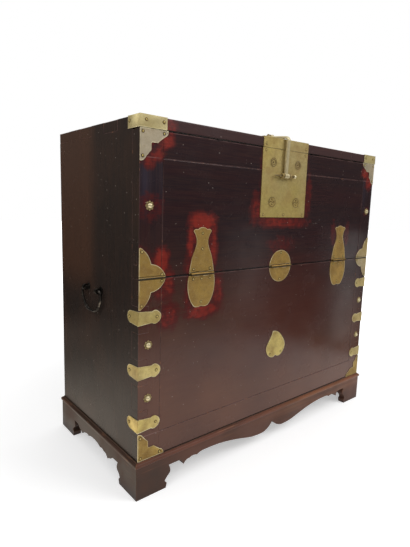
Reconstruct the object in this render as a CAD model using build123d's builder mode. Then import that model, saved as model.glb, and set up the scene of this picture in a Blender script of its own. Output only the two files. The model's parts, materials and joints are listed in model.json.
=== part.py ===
from build123d import *
from functools import partial
import os

# Korean bandaji: a blanket chest whose upper front is a door that drops forward on three brass
# hinges. The carcass is finger-jointed and stands loose on a low stand with scalloped aprons.
# Millimetres, +Z up, floor at Z = 0, the front faces -Y, X = 0 is the middle of the chest and
# Y = 0 is halfway between the foremost lock staple and the back of the stand.

# ---- Driving dimensions -------------------------------------------------------------------

# Carcass
chest_width = 900.0
chest_depth = 425.0
side_board = 25.0         # thickness of the side boards
top_board = 25.0
front_board = 28.0        # thickness of the door and of the fixed front below it
back_board = 20.0
bottom_board = 22.0
lower_front = 419.4       # height of the fixed front
door_height = 312.0
seam_gap = 1.0            # between the fixed front and the door
door_top_gap = 0.8        # between the door and the top board
door_bevel = 3.0          # the door's top edge falls this much to its back, to swing clear
top_lip = 1.2             # the top board stands this far in front of the door
frame_margin = 57.0       # width of the stiles and rails around the two fields of the front
groove = 1.3              # chamfer along the fields, seen as a fine line
tenon_height = 28.0
tenon_thickness = 12.0
tenon_rise = 29.0         # from the door's lower edge up to the through tenon
back_boards = 3
front_fingers = 7         # finger joints of the fixed front, counting both boards
top_fingers = 6

# Stand
stand_overhang = 8.3      # the moulding's nose beyond the carcass, all round
rail_thickness = 12.6
rail_width = 62.0
rail_nose = 6.0           # radius of the rounded nose
rail_step = 2.6           # height of the step between the nose and the flat top
rail_under = 2.0          # radius of the lower edge
apron_height = 80.0
apron_thickness = 22.0
apron_setback = 3.0       # the apron behind the moulding's nose
foot_width = 81.0
foot_cusp = 3.0           # size of the small cusp on a foot's inner edge
foot_cusp_height = 12.0
foot_curl = 8.0           # the foot's upper lobe starts this far outside its inner edge
front_arch = 56.5         # from the floor to the underside of the front and back aprons
side_arch = 51.5
pendant_reach = 52.0      # from the foot's inner edge to the tip of the first hanging lobe
pendant_bottom = 41.0
pendant_sides = (13.0, 17.0)   # from that tip to the lobe's two ends
cusp_drop = 5.5           # the small cusps of the front below the arch
scallop_reach = 93.0      # from the foot's inner edge to the small cusp after the lobe
long_arch_reach = 117.0   # from the foot's inner edge to where the long arch begins
front_lobe = 52.0         # from the middle of the front apron to its two central lobes
front_lobe_bottom = 28.5
front_peak_drop = 2.5     # the point between those lobes below the arch
side_shoulder_reach = 28.0     # the same places along the short aprons
side_pendant_reach = 61.0
side_pendant_bottom = 35.0
side_rise_reach = 82.0
side_cusp_reach = 102.0
side_cusp_drop = 5.5
side_bow = 1.0            # rise of the short apron's middle above its ends
corner_block = 26.0

# Brass plates
plate = 1.5               # thickness of all sheet brass but the lock plate
corner_arm = 69.0         # length of a corner plate along the door's or the stand's edge
corner_rise = 66.0        # length of its other arm
corner_arm_width = 27.0
edge_plate_width = 67.0
edge_plate_reach = 67.5   # from the seam to the end of a half butterfly plate
strap_front = 57.5        # length of a strap on the front
strap_side = 45.0
strap_half_height = 16.0
strap_trefoil = 23.5      # length of the trefoil end of a strap
strap_gap = 3.0           # between the butterfly plate and the highest strap
strap_rise = 85.4         # middle of the lowest strap above the stand
cap_front = 65.0
cap_side = 46.0
peach_width = 78.0
peach_height = 76.0
peach_rise = 157.4        # from the stand to the lowest point of the peach plate
flower_inset = 25.0       # from the chest's edge to the middle of a flower boss
flower_petals = 6
flower_radius = 11.5
flower_dome = 6.5
flower_height = 7.0
door_flower_rise = 156.0  # above the seam
nail_radius = 2.5
nail_height = 1.3
nail_taper = 35           # degrees
nail_facets = 6
nail_inset = 7.0          # from a plate's edges to its nails
hinge_nail_x = 25.0       # nails of a bottle hinge beside its barrel
hinge_nail_z = 11.5

# Hinges
hinge_inset = 170.0       # from the chest's edge to the middle of a bottle hinge
hinge_out = 4.0           # hinge axis in front of the chest's face
knuckle_radius = 3.5
hinge_pin_radius = 1.8
hinge_clearance = 0.3
knuckles = 5
bottle_half_width = 37.0  # at the seam
bottle_neck = 17.0
bottle_lip = 27.0
bottle_height = 109.5
belly_half_width = 40.0   # widest place of the lower leaf
belly_depth = 80.0
bottle_barrel = 68.0
round_hinge_radius = 44.0
round_barrel = 80.0

# Lock
lock_plate_width = 181.0
lock_plate_height = 178.5
lock_plate = 2.0          # thickness
lock_plate_corner = 3.0
lock_top_reach = 74.0     # depth of the lock plate's counterpart on the top of the chest
lock_x = -6.0             # the lock bar hangs this far left of the chest's middle
lock_axis_out = 9.5       # middle of the lock pin in front of the door
lock_axis_drop = 68.0     # below the door's top edge
lock_pin_radius = 3.0
lock_clearance = 0.4
eye_radius = 6.6
eye_width = 17.0          # lower eye of the lock bar
staple_radius = 7.2
staple_width = 7.0
staple_chamfer = 1.8
staple_gap = 3.0          # between the eye and each staple
staple_post = 3.0         # radius of the post behind a staple
bar_width = 11.0
bar_thickness = 6.5
bar_out = 13.0            # middle of the bar's bend in front of the door
bar_bend = 10.0
bar_rise = 6.2            # middle of the bar above the chest's top, over the front edge
trunnion_back = 52.0      # behind the chest's face
trunnion_rise = 12.2      # above the chest's top
trunnion_radius = 3.5
trunnion_boss = 7.0
trunnion_length = 27.0
ear_thickness = 5.0
ear_gap = 0.6             # between the trunnion's boss and each ear
ear_clearance = 0.5
ear_wall = 4.2
ear_mouth = 1.5           # the ears are open in front of this place behind the trunnion's axis
pin_ball = 4.8
pin_right = 36.0          # from the middle of the lock bar to the middle of the pin's ball
pin_left = 46.0           # from the middle of the lock bar to the pin's point
pin_taper = 22.0
escutcheon_x = 50.0
escutcheon_drop = 35.0    # below the door's top edge
escutcheon_radius = 10.0
escutcheon_rim = 2.2
escutcheon_height = 1.0
keyhole_radius = 2.4
roundel_x = 49.0
roundel_rise = 40.5       # above the lower edge of the lock plate
roundel_radius = 12.0
roundel_rim = 2.0
roundel_height = 0.8
roundel_slots = 4
roundel_slot = (7.0, 2.6) # length and width of each slot
roundel_eye = 1.8

# Handles
handle_height = 457.0
handle_half_span = 35.0   # from the middle of the handle to the middle of each eye
handle_out = 9.5          # middle of the rod outside the side board
handle_rod = 3.5
handle_eye = 7.5
handle_eye_width = 7.0
handle_clearance = 0.4
handle_rose = 10.0
rose_thickness = 2.0
bail_half_width = 52.0
rod_facets = 8            # the rod is forged with this many flats
bail_drop = 54.0
bail_curl = 9.0           # radius where the rod turns into its eye
bail_bow = 44.0           # radius of the bail's lower corners
bail_tail = 6.0           # the rod's end beyond the eye
bail_end_radius = 4.8
bail_end_width = 3.0

# ---- Derived places -----------------------------------------------------------------------

half_width = chest_width / 2
stand_height = apron_height + rail_thickness
lower_top = stand_height + lower_front
seam_z = lower_top + seam_gap / 2
door_bottom = lower_top + seam_gap
door_top = door_bottom + door_height
top_underside = door_top + door_top_gap
chest_top = top_underside + top_board

front_reach = lock_axis_out + staple_radius
front_y = (front_reach - chest_depth - stand_overhang) / 2
back_y = front_y + chest_depth
inner_front = front_y + front_board
inner_back = back_y - back_board
middle_y = front_y + chest_depth / 2
top_front = front_y - top_lip
field_half = half_width - frame_margin
hinge_x = half_width - hinge_inset

highest_strap = seam_z - edge_plate_reach - strap_gap - strap_half_height
lowest_strap = stand_height + strap_rise
strap_middles = (highest_strap, (highest_strap + lowest_strap) / 2, lowest_strap)

lock_z = door_top - lock_axis_drop
lock_y = front_y - lock_axis_out
lock_plate_bottom = door_top - lock_plate_height
trunnion_y = front_y + trunnion_back
trunnion_z = chest_top + trunnion_rise

os.makedirs("parts", exist_ok=True)


def keep(piece, name):
    """Label a finished piece and write it to its own file."""
    piece.part.label = name
    export_step(piece.part, f"parts/{name}.step")


def facing(x=0.0, z=0.0, out=0.0):
    """A plane in front of the chest, drawn in X and Z, whose normal points to the front."""
    return Plane(origin=(x, front_y - out, z), x_dir=(1, 0, 0), z_dir=(0, -1, 0))


def block(x, y, z, mode=Mode.ADD):
    """A box in the open sub-part, from its (low, high) pairs along X, Y and Z."""
    with BuildSketch(Plane.XY.offset(z[0])) as base:
        with Locations(((x[0] + x[1]) / 2, (y[0] + y[1]) / 2)):
            Rectangle(x[1] - x[0], y[1] - y[0])
    extrude(base.sketch, amount=z[1] - z[0], mode=mode)


# ---- Carcass boards -----------------------------------------------------------------------


def fingers(start, stop, count, first):
    """The (low, high) places of every second finger of a joint of count fingers."""
    pitch = (stop - start) / count
    return [(start + i * pitch, start + (i + 1) * pitch) for i in range(first, count, 2)]


back_board_height = (top_underside - stand_height) / back_boards
back_board_starts = [stand_height + i * back_board_height for i in range(back_boards)]
side_in_top = fingers(inner_front, back_y, top_fingers, 0)
side_in_front = fingers(stand_height, lower_top, front_fingers, 1)
side_in_back = [fingers(start, start + back_board_height, 3, 1)[0] for start in back_board_starts]


def side_ends(side):
    """The (low, high) X of the left (-1) or right (+1) side board."""
    return sorted((side * half_width, side * (half_width - side_board)))


for side, hand in ((-1, "left"), (1, "right")):
    with BuildPart() as side_piece:
        block(side_ends(side), (inner_front, inner_back), (stand_height, top_underside))
        for y in side_in_top:
            block(side_ends(side), y, (top_underside, chest_top))
        for z in side_in_front:
            block(side_ends(side), (front_y, inner_front), z)
        for z in side_in_back:
            block(side_ends(side), (inner_back, back_y), z)
    keep(side_piece, f"{hand}_side_board")

with BuildPart() as top_piece:
    block((-half_width, half_width), (top_front, back_y), (top_underside, chest_top))
    for side in (-1, 1):
        for y in side_in_top:
            block(side_ends(side), y, (top_underside, chest_top), Mode.SUBTRACT)
keep(top_piece, "top_board")

with BuildPart() as bottom_piece:
    block(
        (side_board - half_width, half_width - side_board),
        (inner_front, inner_back),
        (stand_height, stand_height + bottom_board),
    )
keep(bottom_piece, "bottom_board")

for start, side_finger, name in zip(back_board_starts, side_in_back, ("lower", "middle", "upper")):
    with BuildPart() as back_piece:
        block((-half_width, half_width), (inner_back, back_y), (start, start + back_board_height))
        for side in (-1, 1):
            block(side_ends(side), (inner_back, back_y), side_finger, Mode.SUBTRACT)
    keep(back_piece, f"{name}_back_board")

# The fixed front: a field and a rail between two stiles that are fingered into the sides.
with BuildPart() as front_field:
    block((-field_half, field_half), (front_y, inner_front), (stand_height + frame_margin, lower_top))
    face = front_field.faces().sort_by(Axis.Y)[0]
    seam_edge = face.edges().sort_by(Axis.Z)[-1]
    chamfer(face.edges() - [seam_edge], groove)
keep(front_field, "lower_front_field")

with BuildPart() as front_rail:
    block((-field_half, field_half), (front_y, inner_front), (stand_height, stand_height + frame_margin))
keep(front_rail, "lower_front_rail")

for side, hand in ((-1, "left"), (1, "right")):
    with BuildPart() as front_stile:
        across = sorted((side * field_half, side * half_width))
        block(across, (front_y, inner_front), (stand_height, lower_top))
        for z in side_in_front:
            block(side_ends(side), (front_y, inner_front), z, Mode.SUBTRACT)
    keep(front_stile, f"{hand}_front_stile")


# ---- Door ---------------------------------------------------------------------------------

rail_bottom = door_top - frame_margin
tenon_z = (door_bottom + tenon_rise, door_bottom + tenon_rise + tenon_height)
tenon_y = (
    front_y + (front_board - tenon_thickness) / 2,
    front_y + (front_board + tenon_thickness) / 2,
)


def bevelled(x, bottom):
    """A door member up to the door's top edge, which falls towards the back."""
    with BuildSketch(Plane.YZ.offset(x[0])) as end:
        Polygon(
            (front_y, bottom),
            (inner_front, bottom),
            (inner_front, door_top - door_bevel),
            (front_y, door_top),
            align=None,
        )
    extrude(end.sketch, amount=x[1] - x[0])


with BuildPart() as door_field:
    block((-field_half, field_half), (front_y, inner_front), (door_bottom, rail_bottom))
    face = door_field.faces().sort_by(Axis.Y)[0]
    seam_edge = face.edges().sort_by(Axis.Z)[0]
    chamfer(face.edges() - [seam_edge], groove)
    block((-half_width, half_width), tenon_y, tenon_z)
keep(door_field, "door_field")

with BuildPart() as door_rail:
    bevelled((-field_half, field_half), rail_bottom)
keep(door_rail, "door_top_rail")

for side, hand in ((-1, "left"), (1, "right")):
    with BuildPart() as door_stile:
        across = sorted((side * field_half, side * half_width))
        bevelled(across, door_bottom)
        block(across, tenon_y, tenon_z, Mode.SUBTRACT)
    keep(door_stile, f"{hand}_door_stile")


# ---- Stand --------------------------------------------------------------------------------


def stand_side(normal, reach):
    """The lower outer edge of one side of the stand: X along it, Y inwards, Z up."""
    inward = Vector(*normal) * -1
    along = inward.cross(Vector(0, 0, 1))
    middle = Vector(0, middle_y, 0) + Vector(*normal) * reach
    return Plane(origin=middle, x_dir=along, z_dir=(0, 0, 1))


def mitred(side, half_length, width, height):
    """Keep of the open sub-part what lies between the two mitres of a side."""
    with BuildSketch(side) as plan:
        Polygon(
            (-half_length, 0),
            (half_length, 0),
            (half_length - width, width),
            (width - half_length, width),
            align=None,
        )
    extrude(plan.sketch, amount=height, mode=Mode.INTERSECT)


def foot_scroll(foot, underside):
    """Inner edge of a foot: a cusp near the floor, then a lobe that curls in to the apron."""
    cusp = (foot - foot_cusp, foot_cusp_height)
    notch = (foot + foot_cusp, foot_cusp_height + 2 * foot_cusp)
    belly = (foot - 1.5 * foot_curl, (notch[1] + underside) / 2)
    Polyline((foot, 0), cusp, notch)
    Spline(notch, belly, (foot - foot_curl, underside), tangents=((-0.3, 1), (0.6, 1)))


def front_scallops(foot):
    """Half of the long apron's lower edge: lobe, two cusps, long arch and central lobe."""
    lobe = front_arch - pendant_bottom
    swell = front_arch - front_lobe_bottom
    pendant = (foot - pendant_reach, pendant_bottom)
    shoulder = (pendant[0] + pendant_sides[0], front_arch)
    rise = (pendant[0] - pendant_sides[1], front_arch - cusp_drop)
    small_cusp = (foot - scallop_reach, front_arch - cusp_drop)
    arch = (foot - long_arch_reach, front_arch)
    central = (front_lobe, front_lobe_bottom)
    Line((foot - foot_curl, front_arch), shoulder)
    ThreePointArc(shoulder, (pendant[0] + 0.3 * pendant_sides[0], front_arch - 0.35 * lobe), pendant)
    ThreePointArc(pendant, (pendant[0] - 0.4 * pendant_sides[1], front_arch - 0.5 * lobe), rise)
    ThreePointArc(rise, ((rise[0] + small_cusp[0]) / 2, front_arch - 0.5 * cusp_drop), small_cusp)
    ThreePointArc(small_cusp, (0.4 * arch[0] + 0.6 * small_cusp[0], front_arch - 0.3 * cusp_drop), arch)
    Spline(
        arch,
        (0.8 * arch[0] + 0.2 * front_lobe, front_arch - 0.04 * swell),
        (0.3 * arch[0] + 0.7 * front_lobe, front_lobe_bottom + 0.32 * swell),
        central,
        tangents=((-1, 0), (-1, 0)),
    )
    ThreePointArc(central, (0.27 * front_lobe, front_arch - 0.62 * swell), (0, front_arch - front_peak_drop))


def side_scallops(foot):
    """Half of the short apron's lower edge: one broad lobe, a cusp and a low arch."""
    half_drop = (side_arch + side_pendant_bottom) / 2
    shoulder = (foot - side_shoulder_reach, side_arch)
    pendant = (foot - side_pendant_reach, side_pendant_bottom)
    rise = (foot - side_rise_reach, side_arch - side_cusp_drop - 1)
    small_cusp = (foot - side_cusp_reach, side_arch - side_cusp_drop)
    Line((foot - foot_curl, side_arch), shoulder)
    Spline(
        shoulder,
        ((shoulder[0] + pendant[0]) / 2, half_drop),
        pendant,
        tangents=((-1, 0), (-0.6, -1)),
    )
    ThreePointArc(pendant, (0.6 * pendant[0] + 0.4 * rise[0], half_drop), rise)
    ThreePointArc(rise, ((rise[0] + small_cusp[0]) / 2, side_arch - 0.6 * side_cusp_drop), small_cusp)
    ThreePointArc(small_cusp, (small_cusp[0] / 2, side_arch), (0, side_arch + side_bow))


def make_stand_side(name, normal, reach, half_length, underside, scallops):
    """The moulding rail and the scalloped apron of one side of the stand."""
    edge = stand_side(normal, reach)
    section = Plane(origin=edge.origin, x_dir=edge.y_dir, z_dir=edge.x_dir)
    with BuildPart() as rail:
        with BuildSketch(section):
            with BuildLine():
                top = apron_height + rail_thickness
                shoulder = top - rail_step
                nose = JernArc((0, shoulder - rail_nose), (0, 1), rail_nose, -90)
                Polyline(nose @ 1, (rail_nose, top), (rail_width, top), (rail_width, apron_height))
                Polyline((rail_width, apron_height), (rail_under, apron_height))
                under = JernArc((rail_under, apron_height), (-1, 0), rail_under, -90)
                Line(under @ 1, nose @ 0)
            make_face()
        extrude(amount=half_length, both=True)
        mitred(edge, half_length, rail_width, apron_height + rail_thickness)
    keep(rail, f"stand_{name}_rail")

    face_origin = edge.origin + edge.y_dir * apron_setback
    face = Plane(origin=face_origin, x_dir=edge.x_dir, z_dir=edge.y_dir * -1)
    half_apron = half_length - apron_setback
    foot = half_apron - foot_width
    with BuildPart() as apron:
        with BuildSketch(face):
            with BuildLine():
                Polyline((0, apron_height), (half_apron, apron_height), (half_apron, 0), (foot, 0))
                foot_scroll(foot, underside)
                scallops(foot)
                mirror(about=Plane.YZ)
            make_face()
        extrude(amount=-apron_thickness)
        plan = Plane(origin=face_origin, x_dir=edge.x_dir, z_dir=(0, 0, 1))
        mitred(plan, half_apron, apron_thickness, apron_height)
    keep(apron, f"stand_{name}_apron")


stand_half_width = half_width + stand_overhang
stand_half_depth = chest_depth / 2 + stand_overhang
for name, normal, reach, half_length, underside, scallops in (
    ("front", (0, -1, 0), stand_half_depth, stand_half_width, front_arch, front_scallops),
    ("back", (0, 1, 0), stand_half_depth, stand_half_width, front_arch, front_scallops),
    ("left", (-1, 0, 0), stand_half_width, stand_half_depth, side_arch, side_scallops),
    ("right", (1, 0, 0), stand_half_width, stand_half_depth, side_arch, side_scallops),
):
    make_stand_side(name, normal, reach, half_length, underside, scallops)

with BuildPart() as glue_blocks:
    block_x = stand_half_width - apron_setback - apron_thickness - corner_block / 2
    block_y = stand_half_depth - apron_setback - apron_thickness - corner_block / 2
    with BuildSketch(Plane.XY.offset(apron_height)):
        with Locations((0, middle_y)):
            with GridLocations(2 * block_x, 2 * block_y, 2, 2):
                Rectangle(corner_block, corner_block)
    extrude(amount=-(apron_height - side_arch))
keep(glue_blocks, "stand_corner_blocks")


# ---- Sheet brass --------------------------------------------------------------------------


def sideways(side, y, z, out=0.0):
    """A plane on the left (-1) or right (+1) side of the chest; its normal points outwards."""
    return Plane(origin=(side * (half_width + out), y, z), x_dir=(0, side, 0), z_dir=(side, 0, 0))


def corner_outline(sx, sy, along, up, width):
    """An L-shaped plate with ogee ends and a notch; its outer corner is at the origin."""
    for reach, turned in ((along, False), (up, True)):
        shoulder = reach - 0.15 * width
        root = 1.6 * width
        spots = [
            (0, 0),
            (reach, 0),
            (reach - 0.03 * width, 0.22 * width),
            (shoulder, 0.4 * width),
            ((shoulder + root) / 2, 0.67 * width),
            (root, width),
            (1.09 * width, width),
            (1.045 * width, 1.045 * width),
        ]
        if turned:
            spots = [(y, x) for x, y in spots]
        spots = [(sx * x, sy * y) for x, y in spots]
        Line(spots[0], spots[1])
        ThreePointArc(*spots[1:4])
        Spline(*spots[3:6])
        Polyline(*spots[5:])


def corner_nails(x, z, sx, sy):
    """Three nails of a corner plate: at the corner and near both ends."""
    spots = (
        (nail_inset, nail_inset),
        (corner_arm - 1.5 * nail_inset, nail_inset - 0.5),
        (nail_inset - 0.5, corner_rise - 1.5 * nail_inset),
    )
    return [facing(x + sx * dx, z + sy * dz, plate) for dx, dz in spots]


def edge_plate_outline(sx, sy):
    """Half of a butterfly plate, cut by the seam: a tall lobe at the edge and a wide one."""
    w, h, gap = edge_plate_width, edge_plate_reach, seam_gap / 2
    spots = [(0, gap), (0, h), (4, h), (19.5, h - 13.5), (0.44 * w, 0.5 * h), (0.45 * w, 0.46 * h)]
    spots += [(0.78 * w, 0.34 * h), (w, 4), (w, gap)]
    spots = [(sx * x, sy * y) for x, y in spots]
    Polyline(*spots[0:3])
    ThreePointArc(*spots[2:5])
    Line(spots[4], spots[5])
    ThreePointArc(*spots[5:8])
    Polyline(spots[7], spots[8], spots[0])


def bottle_outline():
    """Upper leaf of a bottle hinge: belly at the seam, neck, and a lip of three small lobes."""
    gap = seam_gap / 2
    lip = (bottle_lip, bottle_height - 9)
    Line((0, gap), (bottle_half_width, gap))
    Spline(
        (bottle_half_width, gap),
        (bottle_half_width - 2, 15),
        (0.77 * bottle_half_width, 42),
        (bottle_neck, 75),
        lip,
        tangents=((0, 1), (0.9, 1)),
    )
    ThreePointArc(lip, (bottle_lip - 6, bottle_height - 4.5), (bottle_neck - 3, bottle_height - 5))
    ThreePointArc((bottle_neck - 3, bottle_height - 5), (7, bottle_height - 1), (0, bottle_height))
    mirror(about=Plane.YZ)


def belly_outline():
    """Lower leaf of a bottle hinge: a round belly on a base with two shallow lobes."""
    gap = seam_gap / 2
    base = 0.56 * belly_half_width
    Line((0, -gap), (bottle_half_width, -gap))
    Spline(
        (bottle_half_width, -gap),
        (belly_half_width, -0.44 * belly_depth),
        (0.82 * belly_half_width, -0.76 * belly_depth),
        (base, 3 - belly_depth),
        tangents=((0.3, -1), (-0.8, -1)),
    )
    ThreePointArc((base, 3 - belly_depth), (base / 2, -belly_depth), (0, 2.5 - belly_depth))
    mirror(about=Plane.YZ)


def half_round_outline(sy):
    """One half of the round middle hinge."""
    gap = seam_gap / 2
    r = round_hinge_radius
    Line((-r, sy * gap), (r, sy * gap))
    ThreePointArc((r, sy * gap), (0, sy * r), (-r, sy * gap))


def make_leaf(name, x, outline, barrel, first):
    """A hinge leaf with every second knuckle of the barrel rolled on its seam edge."""
    knuckle = barrel / knuckles
    middles = [(i + 0.5) * knuckle - barrel / 2 for i in range(knuckles)]
    own = middles[first::2]
    others = middles[1 - first::2]
    with BuildPart() as leaf:
        with BuildSketch(facing(x, seam_z)):
            with BuildLine():
                outline()
            make_face()
            for middle in others:
                with Locations((middle, 0)):
                    clear = 2 * (knuckle_radius + 3 * hinge_clearance)
                    Rectangle(knuckle + hinge_clearance, clear, mode=Mode.SUBTRACT)
        extrude(amount=plate)
        for middle in own:
            start = x + middle - knuckle / 2 + hinge_clearance / 2
            with BuildSketch(Plane.YZ.offset(start)):
                with Locations((front_y - hinge_out, seam_z)):
                    Circle(knuckle_radius)
            extrude(amount=knuckle - hinge_clearance)
        with BuildSketch(Plane.YZ.offset(x - barrel / 2)):
            with Locations((front_y - hinge_out, seam_z)):
                Circle(hinge_pin_radius + hinge_clearance)
        extrude(amount=barrel, mode=Mode.SUBTRACT)
    keep(leaf, name)


for hand, x in (("left", -hinge_x), ("right", hinge_x)):
    make_leaf(f"{hand}_hinge_upper_leaf", x, bottle_outline, bottle_barrel, 1)
    make_leaf(f"{hand}_hinge_lower_leaf", x, belly_outline, bottle_barrel, 0)
make_leaf("middle_hinge_upper_leaf", 0, partial(half_round_outline, 1), round_barrel, 1)
make_leaf("middle_hinge_lower_leaf", 0, partial(half_round_outline, -1), round_barrel, 0)

with BuildPart() as hinge_pins:
    for x, barrel in ((-hinge_x, bottle_barrel), (0, round_barrel), (hinge_x, bottle_barrel)):
        with BuildSketch(Plane.YZ.offset(x - barrel / 2)):
            with Locations((front_y - hinge_out, seam_z)):
                Circle(hinge_pin_radius)
        extrude(amount=barrel)
keep(hinge_pins, "hinge_pins")

carcass_nails = []
door_nails = []
for x in (-hinge_x, hinge_x):
    for dz in (bottle_height - 2 * nail_inset, 0.54 * bottle_height):
        door_nails.append(facing(x, seam_z + dz, plate))
    for dx in (-hinge_nail_x, hinge_nail_x):
        door_nails.append(facing(x + dx, seam_z + hinge_nail_z, plate))
    for dx in (-hinge_nail_x, 0, hinge_nail_x):
        carcass_nails.append(facing(x + dx, seam_z - hinge_nail_z, plate))
    carcass_nails.append(facing(x, seam_z - belly_depth + 1.7 * nail_inset, plate))
door_nails.append(facing(0, seam_z + round_hinge_radius - nail_inset, plate))
carcass_nails.append(facing(0, seam_z - round_hinge_radius + nail_inset, plate))

for side, hand in ((-1, "left"), (1, "right")):
    edge_x = side * half_width

    for name, z, sy, nails in (
        ("door_corner_plate", door_top, -1, door_nails),
        ("bottom_corner_plate", stand_height, 1, carcass_nails),
    ):
        with BuildPart() as corner:
            with BuildSketch(facing(edge_x, z)):
                with BuildLine():
                    corner_outline(-side, sy, corner_arm, corner_rise, corner_arm_width)
                make_face()
            extrude(amount=plate)
        keep(corner, f"{hand}_{name}")
        nails += corner_nails(edge_x, z, -side, sy)

    for name, sy, nails in (("upper", 1, door_nails), ("lower", -1, carcass_nails)):
        with BuildPart() as edge_plate:
            with BuildSketch(facing(edge_x, seam_z)):
                with BuildLine():
                    edge_plate_outline(-side, sy)
                make_face()
            extrude(amount=plate)
        keep(edge_plate, f"{hand}_edge_plate_{name}")
        for dx, dz in ((nail_inset, edge_plate_reach - 9), (edge_plate_width - 9, nail_inset)):
            nails.append(facing(edge_x - side * dx, seam_z + sy * dz, plate))

    with BuildPart() as straps:
        for z in strap_middles:
            h = strap_half_height
            waist = strap_front - strap_trefoil
            with BuildSketch(facing(edge_x, z)) as front_leg:
                with BuildLine():
                    spots = [(-plate, 0), (-plate, h), (waist, 0.8 * h)]
                    spots += [(waist + 0.36 * strap_trefoil, 0.97 * h)]
                    spots += [(waist + 0.7 * strap_trefoil, 0.75 * h)]
                    spots += [(waist + 0.93 * strap_trefoil, 0.4 * h), (strap_front, 0)]
                    spots = [(-side * dx, dz) for dx, dz in spots]
                    Polyline(*spots[0:3])
                    ThreePointArc(*spots[2:5])
                    ThreePointArc(*spots[4:7])
                    mirror(about=Plane.XZ)
                make_face()
            extrude(front_leg.sketch, amount=plate)
            with BuildSketch(sideways(side, front_y, z)) as side_leg:
                with BuildLine():
                    spots = [(-plate, 0), (-plate, h), (strap_side - 0.75 * h, 0.88 * h)]
                    spots += [(strap_side - 0.19 * h, 0.53 * h), (strap_side, 0)]
                    spots = [(side * dy, dz) for dy, dz in spots]
                    Polyline(*spots[0:3])
                    ThreePointArc(*spots[2:5])
                    mirror(about=Plane.XZ)
                make_face()
            extrude(side_leg.sketch, amount=plate)
            carcass_nails.append(facing(edge_x - side * (strap_front - 11), z, plate))
            carcass_nails.append(sideways(side, front_y + strap_side - 10, z, plate))
    keep(straps, f"{hand}_corner_straps")

    with BuildPart() as cap:
        outer = side * (half_width + plate)
        heights = (top_underside, chest_top + plate)
        block(sorted((outer, edge_x - side * cap_front)), (top_front - plate, top_front), heights)
        block(sorted((outer, edge_x)), (top_front - plate, front_y + cap_side), heights)
        with BuildSketch(Plane(origin=(outer, top_front - plate, chest_top))) as top_leaf:
            with BuildLine():
                along = cap_front + plate
                back = cap_side + top_lip + plate
                corner_outline(-side, 1, along, back, 0.6 * corner_arm_width)
            make_face()
        extrude(top_leaf.sketch, amount=plate)
    keep(cap, f"{hand}_top_corner_cap")
    cap_out = top_lip + plate
    cap_middle = (top_underside + chest_top) / 2 + 3
    for dx in (2 * nail_inset, cap_front - nail_inset - 1.5):
        carcass_nails.append(facing(edge_x - side * dx, cap_middle, cap_out))
    carcass_nails.append(sideways(side, front_y + cap_side - nail_inset, cap_middle, plate))

with BuildPart() as peach:
    w = peach_width / 2
    h = peach_height
    cusp = (0, 3.5)
    tip = (-0.38 * w, h)
    with BuildSketch(facing(0, stand_height + peach_rise)):
        with BuildLine():
            Spline(cusp, (0.5 * w, 0), (w, 0.36 * h), (0.7 * w, 0.69 * h), (0.1 * w, 0.955 * h), tip)
            Spline(cusp, (-0.5 * w, 0), (-w, 0.38 * h), (-0.75 * w, 0.64 * h), tip)
        make_face()
    extrude(amount=plate)
keep(peach, "peach_plate")
for dx in (-0.58 * w, 0.58 * w):
    carcass_nails.append(facing(dx, stand_height + peach_rise + 10, plate))


def flower(plane):
    """A petalled rose with a domed boss in its middle."""
    with BuildSketch(plane) as petals:
        Circle(0.7 * flower_radius)
        with PolarLocations(0.62 * flower_radius, flower_petals):
            Circle(0.38 * flower_radius)
    extrude(petals.sketch, amount=plate)
    across = Plane(origin=plane.origin, x_dir=plane.x_dir, z_dir=plane.x_dir.cross(plane.z_dir))
    with BuildSketch(across) as half_dome:
        with BuildLine():
            Polyline((0, flower_height), (0, 0), (flower_dome, 0), (flower_dome, plate))
            TangentArc((0, flower_height), (flower_dome, plate), tangent=(1, 0))
        make_face()
    revolve(half_dome.sketch, axis=Axis(plane.origin, plane.z_dir))


with BuildPart() as door_flowers:
    for side in (-1, 1):
        flower(facing(side * (half_width - flower_inset), seam_z + door_flower_rise))
keep(door_flowers, "door_flower_bosses")

# The lower bosses stand halfway between the corner straps.
with BuildPart() as carcass_flowers:
    for side in (-1, 1):
        for above, below in zip(strap_middles, strap_middles[1:]):
            flower(facing(side * (half_width - flower_inset), (above + below) / 2))
keep(carcass_flowers, "carcass_flower_bosses")


# ---- Lock ---------------------------------------------------------------------------------

with BuildPart() as door_lock_plate:
    with BuildSketch(facing(0, lock_plate_bottom)):
        with Locations((0, lock_plate_height / 2)):
            Rectangle(lock_plate_width, lock_plate_height)
        fillet(vertices().group_by(Axis.Y)[0], lock_plate_corner)
    extrude(amount=lock_plate)
    with BuildSketch(facing(0, door_top - escutcheon_drop, lock_plate)):
        with Locations((-escutcheon_x, 0), (escutcheon_x, 0)):
            Circle(escutcheon_radius)
            Circle(escutcheon_radius - escutcheon_rim, mode=Mode.SUBTRACT)
    extrude(amount=escutcheon_height)
    with BuildSketch(facing(0, door_top - escutcheon_drop)):
        with Locations((-escutcheon_x, 0), (escutcheon_x, 0)):
            Circle(keyhole_radius)
    extrude(amount=lock_plate, mode=Mode.SUBTRACT)
    with BuildSketch(facing(0, lock_plate_bottom + roundel_rise, lock_plate)):
        with Locations((-roundel_x, 0), (roundel_x, 0)):
            Circle(roundel_radius)
            Circle(roundel_radius - roundel_rim, mode=Mode.SUBTRACT)
    extrude(amount=roundel_height)
    with BuildSketch(facing(0, lock_plate_bottom + roundel_rise)):
        for x in (-roundel_x, roundel_x):
            with Locations((x, 0)):
                Circle(roundel_eye)
                with PolarLocations(0.52 * roundel_radius, roundel_slots):
                    Rectangle(*roundel_slot, rotation=50)
    extrude(amount=lock_plate, mode=Mode.SUBTRACT)
keep(door_lock_plate, "door_lock_plate")

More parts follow.
